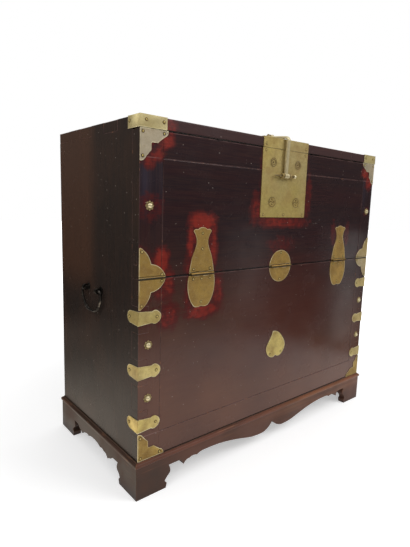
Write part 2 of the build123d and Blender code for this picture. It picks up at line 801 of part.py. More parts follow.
half_plate = lock_plate_width / 2
for dx in (-half_plate + nail_inset + 3, 0, half_plate - nail_inset - 3):
    door_nails.append(facing(dx, lock_plate_bottom + nail_inset, lock_plate))
for dx in (-half_plate + nail_inset + 3, half_plate - nail_inset - 3):
    door_nails.append(facing(dx, door_top - nail_inset, lock_plate))
    carcass_nails.append(facing(dx, top_underside + 9, top_lip + lock_plate))

with BuildPart() as top_lock_plate:
    across = (-half_plate, half_plate)
    block(across, (top_front - lock_plate, top_front), (top_underside, chest_top + lock_plate))
    block(across, (top_front - lock_plate, front_y + lock_top_reach), (chest_top, chest_top + lock_plate))
keep(top_lock_plate, "top_lock_plate")

# Two ears, open to the front, in which the lock bar's upper trunnion lies.
seat = trunnion_radius + ear_clearance
ear_x = bar_width / 2 + ear_gap
ear_radius = seat + ear_wall
with BuildPart() as keeper:
    for start in (ear_x, -ear_x - ear_thickness):
        with BuildSketch(Plane.YZ.offset(lock_x + start)):
            with Locations((trunnion_y, trunnion_z)):
                Circle(ear_radius)
            base = chest_top + lock_plate
            foot = (trunnion_y - 1.35 * ear_radius, trunnion_y + ear_radius)
            with Locations(((foot[0] + foot[1]) / 2, (base + trunnion_z) / 2)):
                Rectangle(foot[1] - foot[0], trunnion_z - base)
            with Locations((trunnion_y, trunnion_z)):
                Circle(seat, mode=Mode.SUBTRACT)
            with Locations((trunnion_y + ear_mouth - ear_radius, trunnion_z - seat + ear_radius)):
                Rectangle(2 * ear_radius, 2 * ear_radius, mode=Mode.SUBTRACT)
        extrude(amount=ear_thickness)
keep(keeper, "lock_keeper")

# Two rounded rings on posts, one each side of the bar's lower eye.
pin_bore = lock_pin_radius + lock_clearance
lock_axis = Axis((lock_x, lock_y, lock_z), (1, 0, 0))
with BuildPart() as staples:
    for side in (-1, 1):
        x = lock_x + side * (eye_width / 2 + staple_gap + staple_width / 2)
        with BuildSketch(Plane(origin=(x, lock_y, lock_z), x_dir=(1, 0, 0), z_dir=(0, -1, 0))) as ring:
            with BuildLine():
                half = staple_width / 2
                rim = staple_radius - staple_chamfer
                Polyline((0, pin_bore), (half, pin_bore), (half, rim), (half - staple_chamfer, staple_radius))
                Line((half - staple_chamfer, staple_radius), (0, staple_radius))
                mirror(about=Plane.YZ)
            make_face()
        revolve(ring.sketch, axis=lock_axis)
        with BuildSketch(facing(x, lock_z, lock_plate)) as post:
            Circle(staple_post)
        extrude(post.sketch, amount=lock_axis_out - lock_plate - pin_bore)
keep(staples, "door_lock_staples")

# The lock bar: an eye on the lock pin, a half-round stem that leans out up the door and bends over
# the chest's edge, and a trunnion across its upper end.
with BuildPart() as lock_bar:
    with BuildLine(Plane.YZ.offset(lock_x)):
        stem = FilletPolyline(
            (lock_y, lock_z),
            (front_y - bar_out, chest_top + bar_rise),
            (trunnion_y, trunnion_z),
            radius=bar_bend,
        )
    with BuildSketch(Plane(origin=stem @ 0, x_dir=(1, 0, 0), z_dir=stem % 0)):
        with BuildLine():
            Polyline((-bar_width / 2, 0), (-bar_width / 2, bar_thickness / 2), (0, bar_thickness / 2))
            shoulder = (-0.36 * bar_width, -0.36 * bar_thickness)
            ThreePointArc((-bar_width / 2, 0), shoulder, (0, -bar_thickness / 2))
            mirror(about=Plane.YZ)
        make_face()
    sweep(path=stem)
    for y, z, radius, length in (
        (lock_y, lock_z, eye_radius, eye_width),
        (trunnion_y, trunnion_z, trunnion_boss, bar_width),
        (trunnion_y, trunnion_z, trunnion_radius, trunnion_length),
    ):
        with BuildSketch(Plane.YZ.offset(lock_x - length / 2)):
            with Locations((y, z)):
                Circle(radius)
        extrude(amount=length)
    with BuildSketch(Plane.YZ.offset(lock_x - eye_width / 2)):
        with Locations((lock_y, lock_z)):
            Circle(pin_bore)
    extrude(amount=eye_width, mode=Mode.SUBTRACT)
keep(lock_bar, "lock_bar")

# The lock pin: a straight shank through both staples, a point on its left, a ball on its right.
with BuildPart() as lock_pin:
    with BuildSketch(Plane(origin=(lock_x, lock_y, lock_z), x_dir=(1, 0, 0), z_dir=(0, -1, 0))):
        with BuildLine():
            Polyline(
                (pin_right, 0),
                (-pin_left, 0),
                (-pin_left, 0.35 * lock_pin_radius),
                (-pin_left + pin_taper, lock_pin_radius),
                (pin_right - 0.7 * pin_ball, lock_pin_radius),
                (pin_right, 0),
            )
        make_face()
    revolve(axis=lock_axis)
    with Locations((lock_x + pin_right, lock_y, lock_z)):
        Sphere(pin_ball)
keep(lock_pin, "lock_pin")


# ---- Handles ------------------------------------------------------------------------------

for side, hand in ((-1, "left"), (1, "right")):
    axis_x = side * (half_width + handle_out)
    with BuildPart() as posts:
        for y in (middle_y - handle_half_span, middle_y + handle_half_span):
            eye_middle = Plane(origin=(axis_x, y, handle_height), x_dir=(-side, 0, 0), z_dir=(0, -1, 0))
            with BuildSketch(eye_middle):
                Circle(handle_eye)
            extrude(amount=handle_eye_width / 2, both=True)
            with BuildSketch(sideways(side, y, handle_height)):
                Circle(handle_rose)
            extrude(amount=rose_thickness)
            with BuildSketch(sideways(side, y, handle_height)):
                Circle(handle_rod)
            extrude(amount=handle_out)
            with BuildSketch(eye_middle):
                Circle(handle_rod + handle_clearance)
            extrude(amount=handle_eye_width, both=True, mode=Mode.SUBTRACT)
    keep(posts, f"{hand}_handle_posts")

    with BuildPart() as bail:
        inner_end = handle_half_span - handle_eye_width / 2 - bail_tail
        hung = Plane(origin=(axis_x, middle_y, handle_height), x_dir=(0, 1, 0), z_dir=(1, 0, 0))
        with BuildLine(hung):
            rod_half = FilletPolyline(
                (inner_end, 0),
                (bail_half_width, 0),
                (bail_half_width, -bail_drop),
                (0, -bail_drop),
                radius=(bail_curl, bail_bow),
            )
            mirror(rod_half, about=Plane(origin=hung.origin, z_dir=(0, 1, 0)))
        with BuildSketch(Plane(origin=(axis_x, middle_y + inner_end, handle_height), z_dir=(0, 1, 0))):
            RegularPolygon(handle_rod, rod_facets)
        sweep()
        for y in (middle_y - inner_end, middle_y + inner_end):
            with BuildSketch(Plane(origin=(axis_x, y, handle_height), z_dir=(0, 1, 0))):
                Circle(bail_end_radius)
            extrude(amount=bail_end_width / 2, both=True)
    keep(bail, f"{hand}_bail")


# ---- Nail heads ---------------------------------------------------------------------------


def nail_heads(planes, name):
    """Low faceted heads of the hand-made nails that hold the plates, one solid each."""
    with BuildPart() as nails:
        for plane in planes:
            with BuildSketch(plane) as head:
                RegularPolygon(nail_radius, nail_facets)
            extrude(head.sketch, amount=nail_height, taper=nail_taper)
    keep(nails, name)


nail_heads(carcass_nails, "carcass_nails")
nail_heads(door_nails, "door_nails")
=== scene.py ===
import json
import math
import random
from functools import partial

import bmesh
import bpy
from bpy.props import FloatProperty, FloatVectorProperty, PointerProperty
from bpy.types import Operator, Panel, PropertyGroup
from mathutils import Matrix, Vector, noise
from mathutils.bvhtree import BVHTree

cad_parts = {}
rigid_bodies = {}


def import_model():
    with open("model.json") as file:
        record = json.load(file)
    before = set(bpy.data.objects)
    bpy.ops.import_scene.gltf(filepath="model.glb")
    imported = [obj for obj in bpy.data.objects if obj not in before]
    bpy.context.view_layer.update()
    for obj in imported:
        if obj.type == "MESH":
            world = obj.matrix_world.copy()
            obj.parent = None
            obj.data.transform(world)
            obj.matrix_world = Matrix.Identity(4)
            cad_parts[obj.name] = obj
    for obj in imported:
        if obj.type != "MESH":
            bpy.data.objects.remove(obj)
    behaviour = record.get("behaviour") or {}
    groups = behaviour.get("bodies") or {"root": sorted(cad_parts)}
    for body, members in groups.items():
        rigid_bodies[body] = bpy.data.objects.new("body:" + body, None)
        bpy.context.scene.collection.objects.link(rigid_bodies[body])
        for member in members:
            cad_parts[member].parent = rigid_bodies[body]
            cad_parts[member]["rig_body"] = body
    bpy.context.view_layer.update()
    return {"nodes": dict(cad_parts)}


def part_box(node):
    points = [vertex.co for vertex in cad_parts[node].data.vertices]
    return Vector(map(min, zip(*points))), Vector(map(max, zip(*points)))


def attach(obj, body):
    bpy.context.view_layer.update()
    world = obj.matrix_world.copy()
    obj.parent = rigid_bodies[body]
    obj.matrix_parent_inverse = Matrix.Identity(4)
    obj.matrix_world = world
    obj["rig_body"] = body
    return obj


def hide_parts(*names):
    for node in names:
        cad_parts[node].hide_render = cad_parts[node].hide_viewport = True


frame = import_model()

bl_info = {
    "name": "Bandaji chest finish",
    "version": (1, 0, 0),
    "blender": (4, 5, 0),
    "location": "View3D > Sidebar > Bandaji",
    "description": "Lacquer, brass and iron for a Korean bandaji chest, and the stage it stands on",
    "category": "Object",
}

MM = 0.001
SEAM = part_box("door_field")[0].z         # where the door meets the lower front
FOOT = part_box("left_side_board")[0].z    # where the chest meets its stand
WELD = 0.01 * MM                  # corners nearer than this are one
FLAT = math.radians(0.5)          # faces that meet flatter than this are one
SHARP = math.radians(32)          # edges sharper than this are softened
SMOOTH_UP_TO = math.radians(50)
DICE = 7 * MM                     # squares of the front boards, on which the wear varies
RING_REACH = 5 * MM               # width of the thin red ring round every piece of brass
SMALLEST_FIELD = 20 * MM * MM     # a plate's smaller faces belong to its edge
FACING = 0.99                     # cosine of the angle within which a face looks a given way
MOSTLY = 0.7                      # the same for a face that looks roughly along an axis
MITRE_LIMIT = 0.35                # keeps a ring from running far out at a sharp corner
JOIN_PASSES = 8                   # rounds of joining the corners of a ring that turns back
RUBBED_BRIGHT = 2.0               # edge wear that patches of tarnish hardly break
INSIDE_SLACK = 0.4 * MM           # how far past the inner faces the bare wood still counts
FOOT_LINE = 2.0 * MM              # half the height of the dark joint between chest and stand
MOPPED_SLANT = 0.17               # how much higher, per metre to the left, the thin lacquer reaches
PINE_ROUGHNESS = 0.8
OUTWARD = (0, -1, 0)              # the way the front faces
WHITE = (1, 1, 1, 1)
FRONT_COAT, SIDE_COAT, TOP_COAT, BACK_COAT = range(4)

SIDES = (("left", -1), ("right", 1))
FRONT_ALONG = ("lower_front_field", "lower_front_rail", "door_field", "door_top_rail")
FRONT_UPRIGHT = ("left_front_stile", "right_front_stile", "left_door_stile", "right_door_stile")
SIDE_BOARDS = ("left_side_board", "right_side_board")
BACK_BOARDS = ("lower_back_board", "middle_back_board", "upper_back_board")
HINGES = ("left_hinge", "right_hinge", "middle_hinge")

# How strong the thin red ring round each piece of brass is, 0 to 1.
RINGED = {
    "left_hinge_upper_leaf": 0.8,
    "left_hinge_lower_leaf": 0.7,
    "right_hinge_upper_leaf": 0.35,
    "right_hinge_lower_leaf": 0.1,
    "middle_hinge_upper_leaf": 0.4,
    "middle_hinge_lower_leaf": 0.15,
    "left_edge_plate_upper": 0.7,
    "left_edge_plate_lower": 0.7,
    "right_edge_plate_upper": 0.5,
    "right_edge_plate_lower": 0.2,
    "left_door_corner_plate": 0.8,
    "right_door_corner_plate": 0.6,
    "left_bottom_corner_plate": 0.3,
    "left_corner_straps": 0.4,
    "door_lock_plate": 0.6,
    "door_flower_bosses": 0.5,
    "carcass_flower_bosses": 0.25,
}

# Where hands and polish have worn the front down to its red undercoat, in mm: the middle (x, z),
# half the width, half the height, and how far it is worn, 0 to 1.
WORN = (
    (-280, 634, 35, 15, 1.0),     # over the left bottle hinge
    (-313, 590, 7, 40, 0.85),
    (-245, 580, 7, 46, 0.8),
    (-322, 540, 6, 22, 0.5),
    (-320, 458, 5, 34, 0.55),
    (-272, 421, 48, 13, 0.85),
    (-226, 466, 9, 38, 0.72),
    (-393, 550, 15, 20, 1.0),     # beside the left edge plate
    (-374, 502, 8, 28, 0.75),
    (-390, 478, 18, 12, 0.6),
    (-372, 421, 20, 26, 0.66),
    (-424, 757, 7, 10, 0.8),      # along the left corner plate
    (-406, 776, 7, 11, 0.85),
    (-385, 803, 15, 12, 0.9),
    (-375, 836, 11, 12, 0.75),
    (-424, 667, 25, 23, 0.42),    # round the upper left flower
    (-107, 666, 15, 34, 0.62),    # beside and under the lock plate
    (0, 633, 98, 9, 0.72),
    (106, 711, 8, 62, 0.5),
    (0, 571, 46, 18, 0.4),        # over the middle hinge
    (244, 598, 8, 32, 0.42),      # beside the right bottle hinge
    (318, 598, 8, 32, 0.42),
    (402, 792, 16, 14, 0.85),     # along the right corner plate
    (424, 764, 14, 18, 0.8),
)


def linear(code):
    """Turn an sRGB hex colour into linear red, green and blue."""
    parts = [int(code[i:i + 2], 16) / 255 for i in (1, 3, 5)]
    return tuple(c / 12.92 if c <= 0.04045 else ((c + 0.055) / 1.055) ** 2.4 for c in parts)


def colour(name, code, description):
    """A colour that the user can change, from its sRGB hex value."""
    return FloatVectorProperty(
        name=name, description=description, default=linear(code), size=3, subtype="COLOR", min=0, max=1
    )


def length(name, millimetres, description):
    """A length that the user can change, from its value in mm."""
    return FloatProperty(name=name, description=description, default=millimetres * MM, unit="LENGTH")


class LacquerSettings(PropertyGroup):
    plum: colour("Plum black", "#22171B", "Lacquer of the upper front")
    foot: colour("Foot brown", "#64402F", "Lacquer of the lower front, thinned by mopping")
    ember: colour("Ember brown", "#46211A", "Redder lacquer in the middle of the front")
    red: colour("Red undercoat", "#7A241C", "Undercoat where the lacquer is rubbed through")
    deep_red: colour("Deep red", "#481819", "Undercoat under a last thin coat")
    # Night blue is a painted reflection of blue sky, in streaks on the upper stiles.
    reflected_sky_blue: colour("Night blue", "#262C3A", "Blue-black bloom on the stiles")
    side: colour("Side black brown", "#2A2421", "Lacquer of the sides")
    # Warm brown also paints a reflection of something brown on the upper back of the sides.
    warm_brown_and_reflection: colour("Warm brown", "#432F25", "Browner plank at the back of the sides")
    gap: colour("Gap", "#080606", "Dirt and shadow where two boards meet")
    # Lip is pale worn edges, and also painted highlights along the seam, the top board and the joint lines of
    # the front.
    worn_lip_and_highlight: colour("Lip", "#94706C", "Pale pink worn edges and joint lines")
    back: colour("Back brown", "#3A2A20", "Thin lacquer of the back")
    chip: colour("Chipped edge", "#A9714C", "Wood and undercoat on knocked edges")
    bare: colour("Bare wood", "#B08A5E", "Unfinished pine inside the chest")
    speck: colour("Speck", "#A89A90", "Dust and small chips in the lacquer")
    board_edge: length("Board edge", 1.0, "Rounding of the boards' edges")


class StandSettings(PropertyGroup):
    moulding: colour("Moulding red brown", "#6E4132", "Stained and rubbed wood of the moulding")
    apron: colour("Apron brown", "#5A3B2F", "Darker wood of the aprons and feet")
    worn: colour("Worn edge", "#B47850", "Wood on the moulding's rubbed nose")
    # Smoked brown is also painted shade on the stand's left and right sides and at its left front foot.
    shade: colour("Smoked brown", "#33271F", "Smoke and old wax on the sides and in the corners")
    edge: length("Stand edge", 1.8, "Rounding of the stand's edges")


class BrassSettings(PropertyGroup):
    sheet: colour("Sheet brass", "#D0BC72", "Olive yellow of the hand-cut sheet brass")
    browned: colour("Browned brass", "#BC9A54", "Hinges and left edge plates")
    dulled: colour("Dulled brass", "#BBA872", "Right edge plates")
    earthy: colour("Earthy brass", "#A88C4C", "Plates at the lower corners, where floor wax went")
    pale: colour("Pale brass", "#D6C88E", "Caps on the top corners, which hands rub")
    petal: colour("Petal brass", "#A29468", "Petals of the flower bosses")
    staple: colour("Staple brass", "#94804C", "Staples and keeper of the lock")
    patina: colour("Patina", "#80622F", "Brown tarnish on the sheet brass")
    grey: colour("Grey tarnish", "#BFB49C", "Dull grey bloom on some of the plates")
    rim: colour("Rubbed rim", "#F0E6BE", "Bright edge of the plates")
    cast: colour("Cast brass", "#E2D6AC", "Paler brass of the lock bar and the flowers' domes")
    pin: colour("Pin brass", "#6E6242", "Dark brass of the lock pin")
    grime: colour("Grime", "#1E160C", "Old polish and dirt round nails, rims and petals")
    rim_width: length("Rim width", 1.5, "Width of a plate's raised rim")
    rim_height: length("Rim height", 0.35, "Height of a plate's raised rim")
    nail_height: length("Nail height", 1.9, "Height of a domed nail head")


class IronSettings(PropertyGroup):
    scale: colour("Forge scale", "#2A2724", "Black scale on the forged handles")
    rust: colour("Rust", "#3A2418", "Old rust in the hollows")
    worn: colour("Worn iron", "#8A837A", "Iron that hands have rubbed bright")


class StageSettings(PropertyGroup):
    floor: colour("Floor", "#E8E8E8", "Pale studio floor")
    curtain: colour("Curtain", "#7A706A", "Cloth round the stage, black at its foot; only gloss shows it")
    card: colour("Card", "#F4F0EC", "Pale cards in front of the curtain, which only gloss shows")
    mat: colour("Mat", "#E4D8C8", "Cloth on the floor to the left, which only gloss shows")
    lens: FloatProperty(
        name="Lens", description="Focal length for a 36 mm high picture", default=28.33, unit="CAMERA"
    )
    key: FloatProperty(
        name="Key lamp", description="Power of the large front lamp", default=44.0, unit="POWER"
    )
    fill: FloatProperty(
        name="Fill", description="Strength of the light all round", default=0.7, subtype="FACTOR"
    )


GROUPS = {
    "bandaji_lacquer": LacquerSettings,
    "bandaji_stand": StandSettings,
    "bandaji_brass": BrassSettings,
    "bandaji_iron": IronSettings,
    "bandaji_stage": StageSettings,
}


# ---- Materials ----------------------------------------------------------------------------


def fill(node, sockets):
    """Fill a node's sockets with values or with the outputs of other nodes."""
    for name, value in sockets.items():
        if isinstance(value, bpy.types.NodeSocket):
            node.id_data.links.new(value, node.inputs[name])
        else:
            node.inputs[name].default_value = value


def put(beside, kind, sockets=(), **settings):
    """Add a node with its settings and links to the tree that holds another node or socket."""
    node = beside.id_data.nodes.new("ShaderNode" + kind)
    for name, value in settings.items():
        setattr(node, name, value)
    fill(node, dict(sockets))
    return node


def rgba(value):
    """A colour as the four numbers that a colour socket takes."""
    return (*value, 1.0)


def start_material(name):
    """A new material, its shader and the coordinates of the chest."""
    material = bpy.data.materials.new(name)
    material.use_nodes = True
    shader = material.node_tree.nodes["Principled BSDF"]
    return material, shader, put(shader, "TexCoord").outputs["Object"]


def lay_colours(place, base, layers):
    """Colours over one another: each layer is a pattern, how much it covers at most, and its colour."""
    tone = rgba(base)
    for pattern, most, over in layers:
        cover = put(place, "Math", {0: pattern, 1: most}, operation="MULTIPLY").outputs[0]
        tone = put(place, "Mix", {0: cover, 6: tone, 7: rgba(over)}, data_type="RGBA").outputs[2]
    return tone


def lay_heights(shader, layers):
    """Relief on the surface: each layer is a height pattern and its depth in metres."""
    below = {}
    for height, depth in layers:
        relief = put(shader, "Bump", {"Height": height, "Distance": depth, **below})
        below = {"Normal": relief.outputs[0]}
    fill(shader, below)


def between(value, start, full, low=0.0, high=1.0):
    """Low up to start, high from full on, and soft between them."""
    steps = {"Value": value, "From Min": start, "From Max": full, "To Min": low, "To Max": high}
    return put(value, "MapRange", steps, interpolation_type="SMOOTHSTEP").outputs[0]


def near(value, middle, reach):
    """1 within reach of the middle, and 0 farther off."""
    return put(value, "Math", {0: value, 1: middle, 2: reach}, operation="COMPARE").outputs[0]


def swayed(base, pattern, amount):
    """A base value, moved by the amount where the pattern is 1."""
    return put(pattern, "Math", {0: pattern, 1: amount, 2: base}, operation="MULTIPLY_ADD").outputs[0]


def patches(place, spacing, start, full, stretch=(1, 1, 1), detail=3.0):
    """Soft patches about spacing mm apart, stretched along the grain where that is given."""
    scale = [1000 / spacing / along for along in stretch]
    spread = put(place, "Mapping", {"Vector": place, "Scale": scale}).outputs[0]
    cloud = put(place, "TexNoise", {"Vector": spread, "Scale": 1.0, "Detail": detail}).outputs["Fac"]
    return put(place, "MapRange", {"Value": cloud, "From Min": start, "From Max": full}).outputs[0]


def scratches(place, turn, degrees, length, width, start):
    """Fine straight scratches in one direction: 1 on a scratch and 0 beside it."""
    rotation = [math.radians(degrees) * part for part in turn]
    size = [width * MM] * 3
    size[1 if turn[0] else 0] = length * MM
    along = {"Vector": place, "Rotation": rotation, "Scale": size}
    lined = put(place, "Mapping", along, vector_type="TEXTURE").outputs[0]
    streak = put(place, "TexNoise", {"Vector": lined, "Scale": 1.0, "Detail": 0.0}).outputs["Fac"]
    return put(place, "MapRange", {"Value": streak, "From Min": start, "From Max": start + 0.03}).outputs[0]


def specks(place, spacing, size, share):
    """Small round specks of about size mm, in a share of the cells spacing mm wide."""
    cells = put(place, "TexVoronoi", {"Vector": place, "Scale": 1000 / spacing})
    ends = {"Value": cells.outputs["Distance"], "From Min": size / spacing, "From Max": 0.5 * size / spacing}
    dot = put(place, "MapRange", ends).outputs[0]
    draw = put(place, "SeparateColor", {0: cells.outputs["Color"]}).outputs[0]
    chosen = put(place, "Math", {0: draw, 1: share}, operation="LESS_THAN").outputs[0]
    return both(dot, chosen)


def both(first, second):
    """Where two patterns hold together."""
    return put(first, "Math", {0: first, 1: second}, operation="MULTIPLY").outputs[0]


def either(first, second):
    """Where one of two patterns holds."""
    return put(first, "Math", {0: first, 1: second}, operation="MAXIMUM").outputs[0]


def painted(place, name):
    """A value that was worked out on the mesh, 0 where a mesh doesn't have it."""
    return put(place, "Attribute", attribute_name=name).outputs["Fac"]


def length_after(place, *steps):
    """The length of a vector after these steps of arithmetic."""
    for operation, other in steps:
        place = put(place, "VectorMath", {0: place, 1: other}, operation=operation).outputs[0]
    return put(place, "VectorMath", {0: place}, operation="LENGTH").outputs["Value"]


def round_spot(place, middle, reach):
    """1 at a place on the chest, fading softly to 0 at its reach; both are given in metres."""
    return between(length_after(place, ("SUBTRACT", middle), ("DIVIDE", reach)), 1.0, 0.15)


def inside_chest(place):
    """1 on the faces that look into the chest, where the wood was never lacquered."""
    left, door, floor = (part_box(node)[1] for node in ("left_side_board", "door_field", "bottom_board"))
    right, back, top = (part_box(node)[0] for node in ("right_side_board", "upper_back_board", "top_board"))
    low = Vector((left.x, door.y, floor.z))
    high = Vector((right.x, back.y, top.z))
    half = (high - low) / 2 + Vector((1, 1, 1)) * INSIDE_SLACK
    none = (0, 0, 0)
    steps = (("SUBTRACT", (low + high) / 2), ("ABSOLUTE", none), ("SUBTRACT", half), ("MAXIMUM", none))
    return put(place, "Math", {0: length_after(place, *steps), 1: WELD}, operation="LESS_THAN").outputs[0]


def front_layers(place, tones, grain, upright):
    """What wear and mopping did to the plum lacquer of the front, a painted reflection of blue sky on
    the stiles, and the lines where boards meet, with pale lines beside them that are partly painted
    highlight.
    """
    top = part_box("top_board")[0].z
    across, _, height = put(place, "SeparateXYZ", {0: place}).outputs
    sunk = between(swayed(height, across, MOPPED_SLANT), SEAM + 0.1, FOOT)
    thinned = both(sunk, swayed(0.6, patches(place, 240, 0.3, 0.7), 0.5))
    ember = round_spot(place, (0.05, -0.2, SEAM - 0.13), (0.34, 1.0, 0.24))
    bands = patches(place, 30, 0.4, 0.7, grain)
    worn = painted(place, "worn_lacquer")
    ragged = patches(place, 13, 0.25, 0.75)
    brushed = patches(place, 2.4, 0.3, 0.7, (14, 1, 1), detail=1.0)
    rubbed = swayed(swayed(swayed(-0.33, worn, 1.0), brushed, 0.16), ragged, 0.5)
    anywhere = between(worn, 0.02, 0.12)
    layers = [
        (thinned, 0.84, tones.foot),
        (ember, 0.55, tones.ember),
        (bands, 0.12, tones.deep_red),
        (both(between(rubbed, 0.05, 0.55), anywhere), 0.85, tones.deep_red),
        (both(between(rubbed, 0.45, 1.1), anywhere), 0.95, tones.red),
        (between(height, top, top + 1 * MM), 0.1, tones.worn_lip_and_highlight),
    ]
    if upright:
        # Painted reflection of blue sky: vertical streaks on the upper stiles.
        streaks = both(bands, between(height, SEAM + 0.1, SEAM + 0.22))
        layers.insert(2, (streaks, 0.8, tones.reflected_sky_blue))
    chipped = patches(place, 22, 0.3, 0.6)
    lines = [(near(height, FOOT, FOOT_LINE), 0.9, tones.gap)]
    # Pale lines beside the seam and the top board are partly worn edge and partly painted highlight.
    for line in (SEAM, top):
        layers.append((both(near(height, line - 3.2 * MM, 0.8 * MM), chipped), 0.28, tones.worn_lip_and_highlight))
        lines.append((near(height, line - 0.4 * MM, 2.0 * MM), 0.95, tones.gap))
    # Pale joint lines at the fields' ends are partly worn edge and partly painted highlight.
    for line in (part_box("door_field")[1].z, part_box("lower_front_field")[0].z):
        lines.append((both(near(height, line, 0.9 * MM), chipped), 0.36, tones.worn_lip_and_highlight))
    return layers, lines


def side_layers(place, tones):
    """A painted reflection of something brown on the upper back of the sides, brown mottling, and a dark line
    at the foot.
    """
    _, depth, height = put(place, "SeparateXYZ", {0: place}).outputs
    # Painted reflection of something brown on the upper back of each side.
    brown = both(between(depth, -0.02, 0.05), between(height, 0.40, 0.52))
    under = ((brown, 0.95, tones.warm_brown_and_reflection), (patches(place, 120, 0.45, 0.75), 0.35, tones.warm_brown_and_reflection))
    return under, ((near(height, FOOT, FOOT_LINE), 0.9, tones.gap),)


def lacquered_wood(name, base, grain, turn, roughness, extra=None, wear=1.0, gleam=0.3):
    """Zelkova under many thin coats of dark lacquer, rubbed by hand.

    The eye gets a deep colour with a soft gloss that the hand-planed board makes a little wavy,
    a hint of grain, bright chips on the edges, and bare pine on the faces that look into the chest.
    """
    tones = bpy.context.scene.bandaji_lacquer
    material, shader, place = start_material(name)
    # Real pores are 0.3 mm wide and real scratches 0.1 mm: both are drawn as coarse as they need to show.
    fibres = patches(place, 2.2, 0.35, 0.7, grain)
    scored = scratches(place, turn, 24, 34, 0.45, 0.79)
    crossed = scratches(place, turn, -52, 26, 0.4, 0.8)
    marked = both(either(scored, crossed), patches(place, 90, 0.56, 0.66))
    bands = patches(place, 34, 0.35, 0.7, grain)
    dust = specks(place, 15, 1.2, 0.5)
    edge = painted(place, "edge_wear")
    knocked = both(edge, patches(place, 14, 0.58, 0.64))
    polished = both(edge, patches(place, 60, 0.3, 0.6))
    under, over = extra(place, tones) if extra else ((), ())
    layers = (
        *under,
        (fibres, 0.03, tones.chip),
        (polished, 0.45 * wear, tones.worn_lip_and_highlight),
        (knocked, 0.9 * wear, tones.chip),
        (marked, 0.16, tones.speck),
        (dust, 0.8, tones.speck),
        *over,
    )
    lacquer = lay_colours(place, base, layers)
    pine = lay_colours(place, tones.bare, ((bands, 0.5, tones.chip), (fibres, 0.35, tones.warm_brown_and_reflection)))
    within = inside_chest(place)
    gloss = swayed(roughness, patches(place, 70, 0.3, 0.7), 0.1)
    fill(shader, {
        "Base Color": put(place, "Mix", {0: within, 6: lacquer, 7: pine}, data_type="RGBA").outputs[2],
        "Roughness": put(place, "Mix", {0: within, 2: gloss, 3: PINE_ROUGHNESS}).outputs[0],
        "Specular IOR Level": gleam,
    })
    wave = patches(place, 160, 0.0, 1.0, detail=1.0)
    ripple = patches(place, 30, 0.0, 1.0, grain, detail=1.0)
    reliefs = ((wave, 0.9), (ripple, 0.09), (fibres, 0.018), (marked, -0.03), (dust, -0.12))
    lay_heights(shader, [(pattern, depth * MM) for pattern, depth in reliefs])
    return material


def stained_wood(name, tone, grain, roughness, worn_share, side_shade=0.0):
    """Red-brown stained wood of the stand, oiled and rubbed.

    The eye gets a visible straight grain, a dull sheen, edges worn to orange wood, painted shade
    on the sides and at the left front foot, and a painted patch of light on the right front.
    """
    tones = bpy.context.scene.bandaji_stand
    material, shader, place = start_material(name)
    # Real pores are 0.3 mm wide: they are drawn as coarse as they need to show.
    fibres = patches(place, 1.8, 0.3, 0.7, grain)
    bands = patches(place, 13, 0.35, 0.65, grain)
    stains = patches(place, 70, 0.4, 0.7)
    rubbed = both(painted(place, "edge_wear"), patches(place, 45, 0.38, 0.6, grain))
    knocked = specks(place, 40, 4.5, 0.16)
    streaks = both(patches(place, 3, 0.6, 0.7, grain), patches(place, 60, 0.5, 0.62))
    height = put(place, "SeparateXYZ", {0: place}).outputs["Z"]
    # Painted shade at the left front foot.
    corner = round_spot(place, (-0.42, -0.22, 0.03), (0.15, 0.4, 0.09))
    # Painted light: a lighter patch on the right front of the moulding, over its grain.
    painted_light_patch = both(round_spot(place, (0.25, -0.22, 0.08), (0.4, 0.3, 0.05)), bands)
    layers = (
        (bands, 0.55, tones.apron),
        (fibres, 0.3, tones.apron),
        (patches(place, 110, 0.42, 0.62), 0.45, tones.shade),
        (corner, 0.75, tones.shade),
        (painted_light_patch, 0.3, tones.worn),
        # Darker within 2 cm of the floor.
        (between(height, 0.02, 0.0), 0.5, tones.shade),
        # Painted shade: the left and right copies of the stand are darkened.
        (side_shade, 1.0, tones.shade),
        (stains, 0.4, tones.apron),
        (streaks, 0.4 * worn_share, tones.worn),
        (rubbed, worn_share, tones.worn),
        (knocked, 0.6 * worn_share, tones.worn),
        (near(height, FOOT, 1.2 * MM), 0.8, tones.shade),
        (near(height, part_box("stand_front_rail")[0].z, 1.0 * MM), 0.7, tones.shade),
    )
    fill(shader, {
        "Base Color": lay_colours(place, tone, layers),
        "Roughness": swayed(roughness, stains, 0.2),
        "Specular IOR Level": 0.2,
    })
    wave = patches(place, 60, 0.0, 1.0, grain, detail=1.0)
    lay_heights(shader, ((wave, 0.3 * MM), (fibres, 0.06 * MM), (knocked, -0.25 * MM)))
    return material


